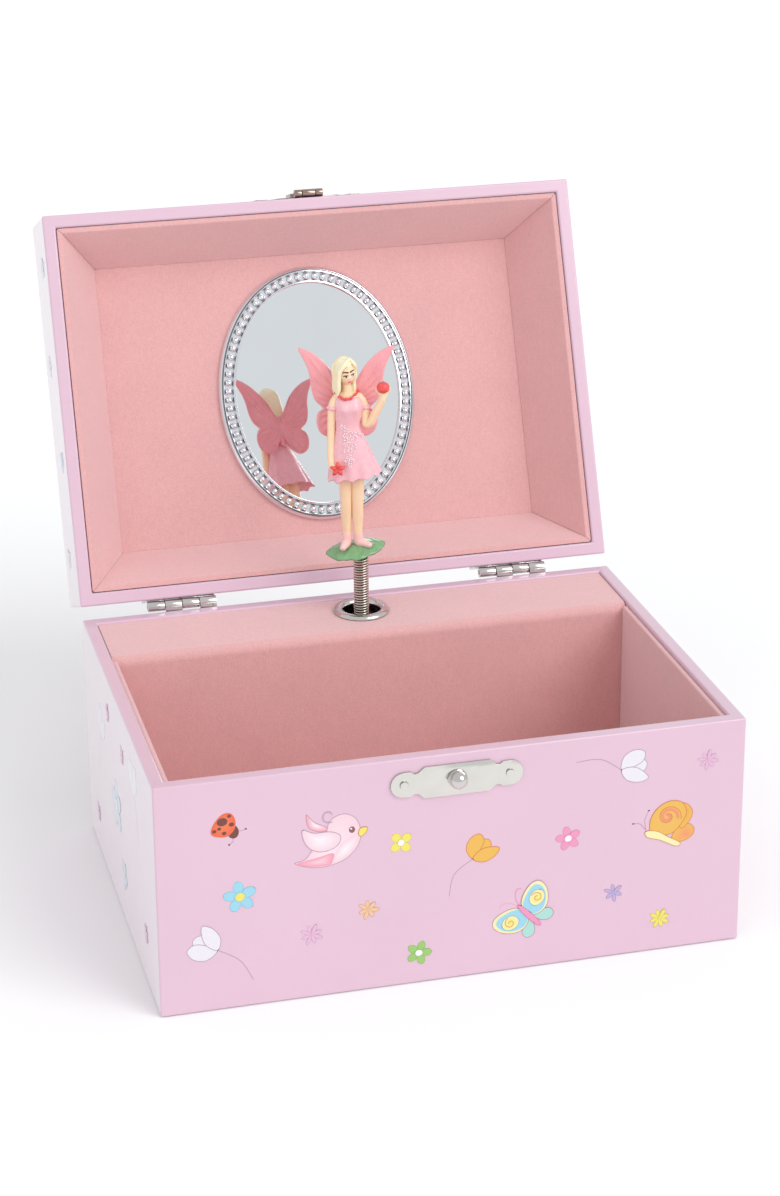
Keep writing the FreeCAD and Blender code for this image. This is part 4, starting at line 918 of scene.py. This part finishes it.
def ledge():
    """The velour-covered cover of the movement, rounded over at its front edge."""
    gap, board = 0.3, 3.5
    round_over = 2.6
    front, back = ledge_low.y, ledge_high.y
    top, under = ledge_high.z, ledge_high.z - board
    section = [(front, ledge_low.z), (front, top - round_over)]
    section += [(front + round_over * (1 - math.cos(turn)),
                 top - round_over * (1 - math.sin(turn)))
                for turn in (math.pi / 2 * step / 10 for step in range(1, 11))]
    section += [(back, top), (back, under), (front + board, under), (front + board, ledge_low.z)]
    clay = Clay()
    half = INNER_X - gap
    count = len(section)
    points = [(x, y, z) for x in (-half, half) for y, z in section]
    faces = [(i, (i + 1) % count, (i + 1) % count + count, i + count) for i in range(count)]
    faces += [tuple(range(count))[::-1], tuple(range(count, 2 * count))]
    clay.add(points, faces)
    made = clay.piece("ledge_velour", VELOUR, "box", "velour", nodes=["music_ledge"])
    rim, stop_radius, slack = 1.4, 0.5, 0.05
    bore = box_mm("ledge_grommet")[1].x - axis_x - rim
    stop = box_mm("stop_wire")[1]
    pierced(made, [((axis_x, axis_y, under - 1), (0, 0, 1), bore, board + 2),
                   ((stop.x - stop_radius, stop.y - stop_radius, under - 1), (0, 0, 1),
                    stop_radius + slack, board + 2)])
    made.data.shade_smooth()
    made.data.set_sharp_from_angle(angle=math.radians(50))


def lid_linings():
    """Four mitred sloping boards round the middle panel of the lid."""
    low, high = shut_box("lid_lining_front")
    gap, thick, inset, spread = 0.08, 1.5, 0.05, 1.1
    half_x, half_y = INNER_X - gap, INNER_Y - gap
    rim = [(-half_x, -half_y), (half_x, -half_y), (half_x, half_y), (-half_x, half_y)]
    # The panel's thick cover reaches a little past its card on every side
    swell = Vector((spread, spread, 0))
    soft_low, soft_high = panel_low - swell, panel_high + swell
    deep = [(soft_low.x, soft_low.y), (soft_high.x, soft_low.y),
            (soft_high.x, soft_high.y), (soft_low.x, soft_high.y)]

    def inward(point, amount):
        return (point[0] - math.copysign(amount, point[0]),
                point[1] - math.copysign(amount, point[1]))

    for index, side in enumerate(("front", "right", "back", "left")):
        first, second = index, (index + 1) % 4
        outer, inner = [], []
        for shrink, row in ((0.0, outer), (thick, inner)):
            a, b = inward(rim[first], shrink), inward(rim[second], shrink)
            c, e = inward(deep[second], shrink), inward(deep[first], shrink)
            row += [(*a, low.z), (*b, low.z), (*c, high.z - inset), (*e, high.z - inset)]
        soft_board(f"lid_{side}_velour", inner + outer, f"lid_lining_{side}", "lid",
                   lid_turn, 0.3)
    soft_board("lid_panel_velour", corners_of(soft_low, soft_high), "lid_lining_panel",
               "lid", lid_turn, 0.5)


# ---------------------------------------------------------------- mirror frame

def mirror_frame():
    """A plated oval frame: a band of faceted beads between two smooth rims."""
    bead_count = 76
    outer_low, outer_high = shut_box("mirror_frame")
    centre = (outer_low + outer_high) / 2
    band, flank = 4.4, 0.45
    half_x, half_y = outer_high.x - centre.x - band, outer_high.y - centre.y - band
    face = panel_low.z

    def at(turn, out, height):
        way = Vector((math.cos(turn) / half_x, math.sin(turn) / half_y, 0)).normalized()
        return Vector((centre.x + half_x * math.cos(turn) + out * way.x,
                       centre.y + half_y * math.sin(turn) + out * way.y, face - height))

    steps = 240
    section = [(0, 0), (0, 1.5), (0.12, 1.9), (0.35, 2.1), (0.65, 2.05), (0.85, 1.6), (0.9, 1.0),
               (3.2, 1.0), (3.25, 1.6), (3.4, 1.85), (3.6, 1.8), (3.75, 1.3), (3.85, 1.3),
               (4.0, 1.6), (4.35, 1.5), (4.65, 1.1), (band + flank, 0.5), (band + flank, 0)]
    clay = Clay()
    clay.rings([[at(math.tau * step / steps, out, height) for out, height in section]
                for step in range(steps)], closed=True)
    clay.piece("mirror_rim", CHROME, "lid", "silver_plastic", lid_turn, 40, ["mirror_frame"])

    # Beads stand the same distance apart along the oval's middle line
    fine, bead_line, half_along, half_across = 2000, 2.05, 0.8, 0.95
    lengths = [0.0]
    for step in range(fine):
        lengths.append(lengths[-1] + (at(math.tau * (step + 1) / fine, band / 2, 0)
                                      - at(math.tau * step / fine, band / 2, 0)).length)
    beads = Clay()
    step = 0
    for bead in range(bead_count):
        target = lengths[-1] * bead / bead_count
        while lengths[step + 1] < target:
            step += 1
        turn = math.tau * step / fine
        per_mm = math.tau / fine / (lengths[step + 1] - lengths[step])
        rings = []
        for share, height in ((1.0, 1.0), (0.97, 1.35), (0.8, 1.7), (0.5, 1.93), (0.18, 2.02)):
            ring = []
            for a, b in circle(14):
                # A squarish dome: the corners of the circle are pushed out
                push = share * (1 + 0.16 * (2 * a * b) ** 2)
                ring.append(at(turn + a * push * half_along * per_mm,
                               bead_line + b * push * half_across, height))
            rings.append(ring)
        beads.rings(rings)
    beads.piece("mirror_beads", CHROME, "lid", "silver_plastic", lid_turn)
    finished(frame["nodes"]["mirror_glass"].data, MIRROR)


# ---------------------------------------------------------------- spring and grommet

def coil_spring():
    """The close-wound spring between the ledge and the figure."""
    wire, pitch, sides, per_turn = 0.31, 0.74, 10, 32
    inside_leaf = 0.7
    mean = SPRING_RADIUS - wire
    foot, top = SPRING_FOOT + wire, SPRING_TOP + inside_leaf
    count = int((top - foot) / pitch * per_turn)
    rings = []
    for step in range(count + 1):
        turn = math.tau * step / per_turn
        z = foot + pitch * step / per_turn
        out = Vector((math.cos(turn), math.sin(turn), 0))
        middle = Vector((axis_x, axis_y, z)) + mean * out
        rings.append([middle + wire * (a * out + b * Vector((0, 0, 1)))
                      for a, b in circle(sides)])
    clay = Clay()
    clay.rings(rings)
    made = clay.piece("coil_spring", SPRING, None, "steel",
                      nodes=["figure_spring_lower", "figure_spring_upper"])
    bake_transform(made)


def grommet():
    """The eyelet: a half-round rim on the ledge and a shank down through its board."""
    high = box_mm("ledge_grommet")[1]
    rim, crown = high.x - axis_x, high.z - ledge_high.z
    bore, shank, depth = 5.0, 6.2, 3.5
    profile = [(bore, -depth), (shank, -depth), (shank, 0), (rim - 0.1, 0)]
    middle, half = (rim + bore) / 2, (rim - bore) / 2
    profile += [(middle + half * math.cos(turn), 0.1 + (crown - 0.1) * math.sin(turn))
                for turn in (math.pi * step / 16 for step in range(17))]
    clay = Clay()
    clay.lathe(profile[::-1], (axis_x, axis_y, ledge_high.z), sides=72)
    clay.piece("grommet", BRIGHT, "box", "nickel", sharp=60, nodes=["ledge_grommet"])


# ---------------------------------------------------------------- leaf, figure and wings

def figure_piece(clay, name, material, slot="figure_plastic", nodes=()):
    """A piece of the figure, modelled from the middle of its soles, facing -Y."""
    clay.piece(name, material, "figure", slot, stand, nodes=nodes)


def leaf_perch():
    """A glossy domed leaf with a pressed midrib and side veins, and its stem in the spring."""
    middle, half_long, half_wide, lift = 1.6, 8.1, 5.2, 0.5
    rows, columns = 48, 28

    def surface(along, across):
        reach = max(0.0, 1 - abs(along) ** 2.2) ** 0.75
        reach *= 1 + 0.05 * math.sin(8.5 * along + 1) * abs(across)
        x = middle + half_long * along
        y = half_wide * reach * across
        droop = 2.4 * across ** 2 * reach if across < 0 else 0.5 * across ** 2 * reach
        veins = 0.11 * math.cos(math.tau * (3.4 * along + 1.6 * abs(across))) * abs(across) ** 0.5
        midrib = 0.3 * math.exp(-(y / 0.45) ** 2)
        return Vector((x, y, lift - 0.9 * along ** 2 + 1.2 * along - droop + veins * reach
                       - midrib))

    rings = []
    for row in range(rows + 1):
        along = -math.cos(math.pi * row / rows)
        upper = [surface(along, -1 + 2 * step / columns) for step in range(columns + 1)]
        lower = []
        for step, point in enumerate(upper[::-1]):
            edge = abs(1 - 2 * step / columns)
            lower.append(point - Vector((0, 0, 0.35 + 0.75 * (1 - edge ** 2)
                                         * (1 - along ** 2))))
        rings.append(upper + lower)
    clay = Clay()
    clay.rings(rings)
    foot = stand.inverted() @ Vector((axis_x, axis_y, SPRING_TOP))
    clay.tube([(foot.x, foot.y, foot.z - 2.5, 1.3), (foot.x, foot.y, foot.z + 0.4, 1.3),
               (foot.x, foot.y, foot.z + 1.2, 1.9), (foot.x - 0.2, foot.y - 0.2, -1.2, 2.6)],
              domed=False)
    figure_piece(clay, "leaf_perch", LEAF, "leaf_plastic", nodes=("leaf_base",))


def legs_and_arms():
    clay = Clay()
    clay.tube([(-0.7, 0, 21.5, 1.8), (-0.9, 0, 17.4, 1.72), (-0.82, -0.15, 12.2, 1.5),
               (-0.8, 0.15, 8.6, 1.45), (-0.75, 0.1, 4.6, 1.15), (-0.7, 0, 1.6, 1.05)], 20)
    clay.tube([(1.9, 0, 21.5, 1.9), (2.3, 0, 17.4, 1.8), (2.25, -0.15, 12.2, 1.6),
               (2.25, 0.15, 8.6, 1.55), (2.3, 0.1, 4.6, 1.25), (2.4, 0, 1.6, 1.15)], 20)
    # Arm at her side, and the raised arm that holds the apple
    clay.tube([(-3.1, 0.2, 42.0, 1.15), (-3.9, 0.1, 40.4, 1.25), (-4.35, 0, 37.5, 1.15),
               (-4.55, -0.1, 33.5, 1.05), (-4.65, -0.5, 29.5, 1.05), (-4.8, -1.3, 26, 0.95),
               (-4.75, -1.9, 24.6, 0.9), (-4.7, -2.3, 23.8, 0.8)], 20)
    clay.tube([(3.0, 0.2, 42.2, 1.15), (4.0, 0.1, 40.4, 1.25), (4.45, 0, 37.4, 1.2),
               (4.8, -0.4, 34.9, 1.22), (6.0, -1.1, 35.6, 1.2), (7.4, -1.9, 38.7, 1.12),
               (8.8, -2.6, 41.6, 0.95), (9.15, -2.8, 42.9, 0.95), (9.25, -2.8, 43.7, 0.9)], 20)
    for spot, size in (((-4.65, -2.4, 23.7), (0.95, 0.85, 1.1)),
                       ((9.2, -2.7, 43.8), (1.3, 1.0, 1.1))):
        clay.ball(spot, size, 16)
    for across in (-0.45, 0.05, 0.5):
        clay.tube([(-4.5 + across, -2.5, 23.6, 0.38), (-4.1 + across, -3.3, 23.0, 0.36),
                   (-3.8 + across, -3.5, 23.5, 0.3)], 8, 3)
    for across, rise in ((-1.25, 0.5), (0.45, 0.9), (1.25, 0.7)):
        clay.tube([(9.15 + 0.6 * across, -2.6, 43.8, 0.45),
                   (9.15 + 1.25 * across, -2.7, 44.5, 0.4),
                   (9.15 + 1.35 * across, -2.8, 45.1 + rise * 0.5, 0.32)], 8, 3)
    # Shoulders and neck
    clay.loft([(0, 0.1, 40.2, 3.6, 2.1), (0, 0.1, 41.6, 3.9, 2.0), (0, 0.2, 42.9, 3.0, 1.7),
               (-0.1, 0.1, 43.9, 1.5, 1.3), (-0.25, -0.1, 45.2, 1.15, 1.1),
               (-0.4, -0.2, 47, 1.15, 1.1)])
    figure_piece(clay, "fairy_skin", SKIN, nodes=("fairy_figure",))


def shoes():
    clay = Clay()
    for x, toe_x, toe_y, rise in ((-0.72, -2.0, -3.1, 0.0), (2.4, 5.1, -2.4, 0.35)):
        clay.tube([(x, 0.1, 3.4, 1.3), (x, 0, 1.9, 1.32), (x, -0.1, 1.1, 1.25)], 20, 3)
        clay.tube([(x, 0.7, 1.0, 0.95), (x, -0.2, 1.05, 1.2),
                   (x + 0.45 * (toe_x - x), 0.5 * toe_y, 0.95 + rise / 2, 1.15),
                   (toe_x, toe_y, 0.6 + rise, 0.85)], 20, 4)
        clay.ball((toe_x, toe_y, 0.6 + rise), (0.88, 0.88, 0.86), 20)
    figure_piece(clay, "fairy_shoes", SHOE)


def dress():
    """A short flared dress with soft folds, a scalloped hem and puffed sleeves."""
    hem, hips = 19.8, 30.0

    def cloth(spot, turn):
        low = max(0.0, min(1.0, (hips - spot.z) / (hips - hem)))
        out = Vector((math.cos(turn), 0.7 * math.sin(turn), 0))
        spot = spot + out * (0.32 * low * math.cos(11 * turn) + 0.12 * low * math.cos(5 * turn))
        spot.z += low ** 6 * (0.7 * abs(math.sin(5.5 * turn)) + 0.13 * (spot.x - 1.6))
        for side in (-1.75, 1.75):
            far = ((spot.x - 0.2 - side) / 1.5) ** 2 + ((spot.z - 40) / 1.7) ** 2
            if math.sin(turn) < 0:
                spot.y -= 0.8 * math.exp(-far)
        return spot

    clay = Clay()
    knots = [(1.6, 0, hem + 2.5, 5.6, 3.2), (1.6, 0, hem + 0.4, 6.8, 4.2),
             (1.6, 0, hem, 7.2, 4.6), (1.4, 0, 22, 6.8, 4.45), (0.9, 0, 25.5, 5.8, 4.1),
             (0.4, 0, hips, 4.4, 3.5), (-0.1, -0.1, 34, 3.3, 2.7), (0.1, -0.3, 37.4, 3.6, 2.8),
             (0.2, -0.3, 40, 3.9, 2.7), (0, 0, 41.9, 3.75, 2.25), (0, 0.1, 42.6, 3.1, 1.9)]
    rings = []
    for x, y, z, wide, deep in [knots[0], knots[1], *through(knots[2:], 5)]:
        rings.append([cloth(Vector((x + wide * a, y + deep * b, z)), math.atan2(b, a))
                      for a, b in circle(88)])
    clay.rings(rings)
    # A ruffle off each shoulder
    for x in (-4.05, 4.2):
        def ruffle(spot):
            wave = 1 + 0.09 * math.cos(9 * math.atan2(spot.y, spot.x))
            return Vector((spot.x * wave, spot.y * wave, spot.z))
        clay.ball((x, 0.05, 39.5), (1.65, 1.7, 0.85), 40, ruffle)
    figure_piece(clay, "fairy_dress", DRESS)


def trimmings():
    """Bead necklace, flower belt, the apple and the posy."""
    red = Clay()
    arc = through([(-3.3, -1.2, 44.0), (-2.2, -2.1, 43.2), (-0.6, -2.55, 42.6),
                   (1.3, -2.2, 43.3), (2.6, -1.4, 44.5)], 3)
    for index, (x, y, z) in enumerate(arc):
        size = 0.34 if index % 2 else 0.46
        red.ball((x, y, z - 0.12 * (index % 3)), (size, 0.8 * size, size), 10)
    flower = Vector((-3.3, -4.9, 23.8))
    for turn in (math.tau * step / 5 + 0.3 for step in range(5)):
        way = Vector((math.cos(turn), 0, math.sin(turn)))
        red.tube([(*(flower + way * 0.3), 0.5), (*(flower + way * 1.1 - Vector((0, 0.15, 0))), 0.62),
                  (*(flower + way * 1.75), 0.38)], 10, 3)
    red.tube([(-4.3, -3.2, 23.8, 0.3), (-3.6, -4.4, 23.8, 0.45)], 8, 3)

    def apple(spot):
        level = math.hypot(spot.x, spot.y) / 1.75
        dimple = 0.45 * math.exp(-(level / 0.3) ** 2) * (1 if spot.z > 0 else -0.6)
        return Vector((spot.x, spot.y, spot.z - dimple))

    red.ball((9.15, -3.0, 45.6), (1.75, 1.75, 1.6), 28, apple)
    figure_piece(red, "red_trimmings", RED)

    stalk = Clay()
    stalk.tube([(9.15, -3.0, 46.7, 0.14), (9.2, -3.0, 47.1, 0.12), (9.3, -3.0, 47.4, 0.14)], 8, 3)
    figure_piece(stalk, "apple_stalk", LEAF)

    picks = random.Random(11)
    belt = Clay()

    def blossom(x, z, size):
        y = front_of_dress(x, z) - 0.12
        for turn in (math.tau * step / 5 + picks.random() for step in range(5)):
            belt.ball((x + size * math.cos(turn), y, z + size * math.sin(turn)),
                      (0.5 * size, 0.35 * size, 0.5 * size), 8)
        belt.ball((x, y - 0.12, z), (0.4 * size, 0.35 * size, 0.4 * size), 8)

    for x, z in ((-1.6, 34.9), (-0.7, 33.9), (0.3, 33.2), (1.4, 32.9), (2.5, 32.7), (3.4, 32.0),
                 (-0.9, 32.5), (0.6, 31.9), (1.8, 31.5), (-0.6, 31.2), (0.5, 30.3), (-1.0, 30.0),
                 (1.4, 29.6), (0.1, 28.9), (-0.9, 28.3), (0.9, 27.9), (0.0, 26.9), (-0.6, 25.9),
                 (0.5, 25.6), (0.1, 24.6)):
        blossom(x, z, picks.uniform(0.46, 0.6))
    figure_piece(belt, "belt_blossoms", BEADS)


def front_of_dress(x, z):
    """Depth of the dress's front at a height, for what is set on it."""
    rows = [(20, 1.6, 7.2, 4.6), (25.5, 0.9, 5.8, 4.1), (30, 0.4, 4.4, 3.5), (34, -0.1, 3.3, 2.8),
            (37.4, 0.1, 3.6, 3.1)]
    for (z0, *low), (z1, *high) in zip(rows, rows[1:]):
        if z <= z1:
            share = (z - z0) / (z1 - z0)
            middle, wide, deep = (a + (b - a) * share for a, b in zip(low, high))
            return -deep * math.sqrt(max(0.05, 1 - ((x - middle) / wide) ** 2))
    return -3.1


# The head is turned and tipped a little toward her raised hand
head = (Matrix.Translation((-0.45, -0.3, 49.3)) @ Matrix.Rotation(math.radians(19), 4, "Z")
        @ Matrix.Rotation(math.radians(-7), 4, "Y"))
FACE = Vector((2.4, 2.55, 3.7))


def face_shape(spot):
    """Narrows an egg to a chin and hollows it a little at the eyes."""
    low = max(0.0, -spot.z / FACE.z)
    shaped = Vector((spot.x * (1 - 0.34 * low ** 1.6), spot.y * (1 - 0.12 * low ** 2), spot.z))
    if spot.y < 0:
        for side in (-0.95, 0.95):
            far = ((spot.x - side) / 0.6) ** 2 + ((spot.z + 0.35) / 0.5) ** 2
            shaped.y += 0.16 * math.exp(-far)
        shaped.y -= 0.42 * math.exp(-((spot.x / 0.32) ** 2 + ((spot.z + 1.0) / 0.55) ** 2))
    return shaped


def on_face(x, z, lift=0.0):
    """The point of the face in front of (x, z), in the figure's own frame."""
    depth = -FACE.y * math.sqrt(max(0.0, 1 - (x / FACE.x) ** 2 - (z / FACE.z) ** 2))
    spot = face_shape(Vector((x, depth, z)))
    return head @ (spot + Vector((0, -lift, 0)))


def head_and_face():
    skin = Clay()
    skin.ball((0, 0, 0), FACE, 44, face_shape)
    skin.points = [head @ point for point in skin.points]
    figure_piece(skin, "fairy_head", SKIN)

    dark, lips, white = Clay(), Clay(), Clay()
    for side in (-1, 1):
        white.tube([(*on_face(side * 0.95 + step, -0.4, -0.04), 0.2)
                    for step in (-0.36, -0.1, 0.15, 0.36)], 8, 3, flat=0.7)
        dark.tube([(*on_face(side * 0.95 + step, -0.1 - 0.25 * step * step, 0.0), 0.15)
                   for step in (-0.52, -0.2, 0.1, 0.48)], 8, 3)
        dark.ball(on_face(side * 0.95 + 0.05, -0.4, 0.05), (0.3, 0.14, 0.34), 12)
        dark.tube([(*on_face(side * (0.36 + 1.25 * step), 0.7 + 0.4 * step * (1.3 - step), 0.03),
                    0.13 + 0.07 * (1 - step)) for step in (0, 0.35, 0.7, 1)], 8, 3)
    lips.tube([(*on_face(step, -2.2 + 0.12 * abs(step), 0.02), 0.3 - 0.3 * abs(step))
               for step in (-0.55, -0.2, 0.0, 0.2, 0.55)], 10, 3)
    figure_piece(dark, "eye_and_brow_paint", DARK)
    figure_piece(lips, "lip_paint", LIP)
    figure_piece(white, "eye_whites", WHITE)


def hair():
    """Long fair hair, parted high on one side and falling over a shoulder."""
    clay = Clay()
    part = Vector((0.9, -1.2, 3.9))

    def scalp(spot):
        turn = math.atan2(spot.y - 0.35 * part.y, spot.x - 0.35 * part.x)
        spot = spot * (1 + 0.022 * math.sin(26 * turn))
        hairline = 1.35 + 0.5 * abs(spot.x)
        if spot.y < 0 and spot.z < hairline:
            spot.y *= max(0.0, 1 - 0.9 * (hairline - spot.z))
        return spot

    clay.ball((-0.1, 0.45, 0.55), (2.95, 3.1, 3.75), 72, scalp)
    for index in range(7):
        share = index / 6
        # Locks sweep from the parting to the left, past the face and over the shoulder
        clay.tube([(*part, 0.42), (-0.8 - 0.5 * share, -2.5 + 1.5 * share, 3.2, 0.55),
                   (-2.35 - 0.25 * share, -1.9 + 1.9 * share, 1.2, 0.62),
                   (-2.95 - 0.3 * share, -1.4 + 2.0 * share, -1.6, 0.66),
                   (-3.1 - 0.45 * share, -1.2 + 2.1 * share, -3.7, 0.6),
                   (-3.5 - 0.3 * share, -1.3 + 2.2 * share, -5.0 - 0.5 * (index % 3), 0.2)], 10, 5)
    for index in range(6):
        share = index / 5
        clay.tube([(part.x + 0.2, part.y + 0.4, part.z - 0.1, 0.42),
                   (2.0, -1.6 + 1.5 * share, 2.3, 0.5), (2.4, -0.6 + 1.5 * share, 0.2, 0.5),
                   (2.3, 0.0 + 1.7 * share, -2.0, 0.5),
                   (1.9 + 0.3 * share, 0.5 + 1.6 * share, -3.6 - 1.0 * share, 0.3)], 10, 5)
    for index in range(9):
        across = -1 + index / 4
        clay.tube([(0.6 * across, 1.6, 3.6, 0.5), (2.3 * across, 3.1 - 0.9 * abs(across), 1.4, 0.7),
                   (2.5 * across, 3.2 - 0.9 * abs(across), -2.2, 0.75),
                   (2.6 * across - 0.2, 2.9 - 0.8 * abs(across), -5.6, 0.7),
                   (2.3 * across - 0.4, 2.5 - 0.6 * abs(across), -8.6 + abs(across), 0.32)], 10, 5)
    clay.points = [head @ point for point in clay.points]
    figure_piece(clay, "fairy_hair", HAIR)


def wing_pair():
    """Butterfly wings of one moulding, with a raised rim and ribs that fan from the back."""
    edge = through([(0.3, 41.0), (2.3, 44.9), (4.4, 48.8), (6.9, 51.7), (9.8, 53.8), (12.8, 54.8),
                    (11.8, 52.4), (10.5, 49.4), (9.8, 46.4), (9.5, 43.4), (8.5, 40.2),
                    (6.5, 38.0), (7.9, 36.5), (8.2, 33.9), (7.3, 31.2), (5.0, 29.9),
                    (2.8, 31.1), (1.3, 33.4), (0.3, 35.0)], 7)
    root = Vector((0.3, 38.2))
    ribs = [math.radians(angle) for angle in (66, 56, 46, 35, 24, 12, -18, -33, -48, -63, -76)]
    steps, behind = 16, 4.1
    clay = Clay()
    for side in (-1, 1):
        rows = []
        for share in [step / steps for step in range(1, steps + 1)]:
            row = []
            for x, z in edge:
                spoke = Vector((x, z)) - root
                spot = root + spoke * share
                angle = math.atan2(spoke.y, spoke.x)
                reach = spoke.length * share
                rib = max(math.exp(-((angle - at) * reach / 0.34) ** 2) for at in ribs)
                rib *= min(1.0, max(0.0, (share - 0.2) / 0.12)) * (share < 0.84)
                rim = math.exp(-(((1 - share) * spoke.length - 0.55) / 0.3) ** 2)
                relief = 0.36 + 0.3 * max(0.75 * rib, rim)
                if share == 1:
                    relief = 0.16
                row.append((side * spot.x, spot.y, relief, 0.05 * spot.x))
            rows.append(row)
        count = len(edge)
        for face in (-1, 1):
            points = [Vector((x, behind + back + face * relief, z))
                      for row in rows for x, z, relief, back in row]
            points.append(Vector((side * root.x, behind + face * 0.45, root.y)))
            faces = []
            for row in range(steps - 1):
                for index in range(count - 1):
                    corner = row * count + index
                    faces.append((corner, corner + 1, corner + 1 + count, corner + count))
            faces += [(index + 1, index, len(points) - 1) for index in range(count - 1)]
            clay.add(points, [quad[::-1] if face * side < 0 else quad for quad in faces])
        # The thin edge between the two faces
        rim = [Vector((x, behind + back + face * relief, z)) for face in (-1, 1)
               for x, z, relief, back in rows[-1]]
        faces = [(i, i + 1, i + 1 + count, i + count) for i in range(count - 1)]
        clay.add(rim, [quad[::-1] if side < 0 else quad for quad in faces])
    clay.tube([(0, 3.7, 33.5, 0.7), (0, 3.6, 37, 1.1), (0, 3.6, 40.5, 1.0), (0, 3.8, 42, 0.7)],
              14, 4)
    clay.tube([(0, 1.6, 38.5, 1.2), (0, behind, 38.5, 1.0)], 12, 2, False)
    figure_piece(clay, "wing_pair", WING, "wing_plastic", nodes=("fairy_wings",))


def fairy():
    leaf_perch()
    legs_and_arms()
    shoes()
    dress()
    trimmings()
    head_and_face()
    hair()
    wing_pair()


# ---------------------------------------------------------------- metal fittings

def eased_copy(node, name, material):
    """A copy of a CAD node with its edges rounded, which stands for it."""
    round_over = 0.12
    source = frame["nodes"][node]
    work = bmesh.new()
    work.from_mesh(source.data)
    bmesh.ops.remove_doubles(work, verts=work.verts, dist=1e-6)
    bmesh.ops.dissolve_limit(work, angle_limit=math.radians(0.8), verts=work.verts,
                             edges=work.edges)
    mesh = bpy.data.meshes.new(name)
    work.to_mesh(mesh)
    work.free()
    mesh.shade_smooth()
    eased(placed(name, mesh, material, source["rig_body"], [node]), round_over, 2, 35)


def fittings():
    eased_copy("catch_plate", "catch_plate_eased", NICKEL)
    # The hasp and its plate take the nickel darkened with painted shade.
    eased_copy("hasp_plate", "hasp_plate_eased", SHADOWED_NICKEL)
    eased_copy("hasp", "hasp_eased", SHADOWED_NICKEL)
    for board in ("box", "lid"):
        for side in ("left", "right"):
            eased_copy(f"hinge_leaf_{board}_{side}", f"{board}_leaf_{side}", BRIGHT)
    eased_copy("winding_key", "key_eased", NICKEL)

    # The knob: a ball on a narrow neck, a little shorter and higher than the CAD solid
    shorter, higher, ball = 1.3, 0.3, 2.3
    low, high = box_mm("catch_knob")
    middle = (low + high) / 2
    plate_face = box_mm("catch_plate")[0].y
    reach = plate_face - low.y - shorter
    profile = [(0.01, -3.0), (0.5, -3.0), (0.5, 0), (2.35, 0), (2.4, 0.25), (2.1, 0.55),
               (1.35, 0.8)]
    profile += [(ball * math.sin(turn), reach - ball - ball * math.cos(turn))
                for turn in (math.radians(tilt) for tilt in range(45, 180, 9))]
    profile.append((0.01, reach))
    clay = Clay()
    clay.lathe(profile, (middle.x, plate_face, middle.z + higher), (0, -1, 0), 40)
    clay.piece("catch_button", BRIGHT, "box", "nickel", sharp=45, nodes=["catch_knob"])


def movement_finishes():
    """Finishes of the pieces that keep their CAD shape."""
    finishes = {
        "box_nails": NICKEL, "lid_nails": NICKEL, "hinge_pins": BRONZE, "hasp_pin": BRONZE,
        "movement_bedplate": CAST, "movement_screws": NICKEL, "music_comb": SPRING,
        "comb_screws": NICKEL, "spring_housing": CAST, "mainspring": SPRING,
        "cylinder_bracket_top": CAST, "cylinder_bracket_low": CAST, "governor_bracket": CAST,
        "stop_wire": SPRING, "key_arbor": NICKEL, "crown_wheel": BRASS, "pin_cylinder": BRASS,
        "drive_pinion": BRASS, "train_wheel": NYLON, "figure_spindle": SPRING,
        "idler_wheel": NYLON, "governor_fan": BRASS,
    }
    for node, material in finishes.items():
        finished(frame["nodes"][node].data, material)


camera()
studio()
case_and_lid()
front_prints()
other_prints()
case_linings()
ledge()
lid_linings()
mirror_frame()
coil_spring()
grommet()
fairy()
fittings()
movement_finishes()
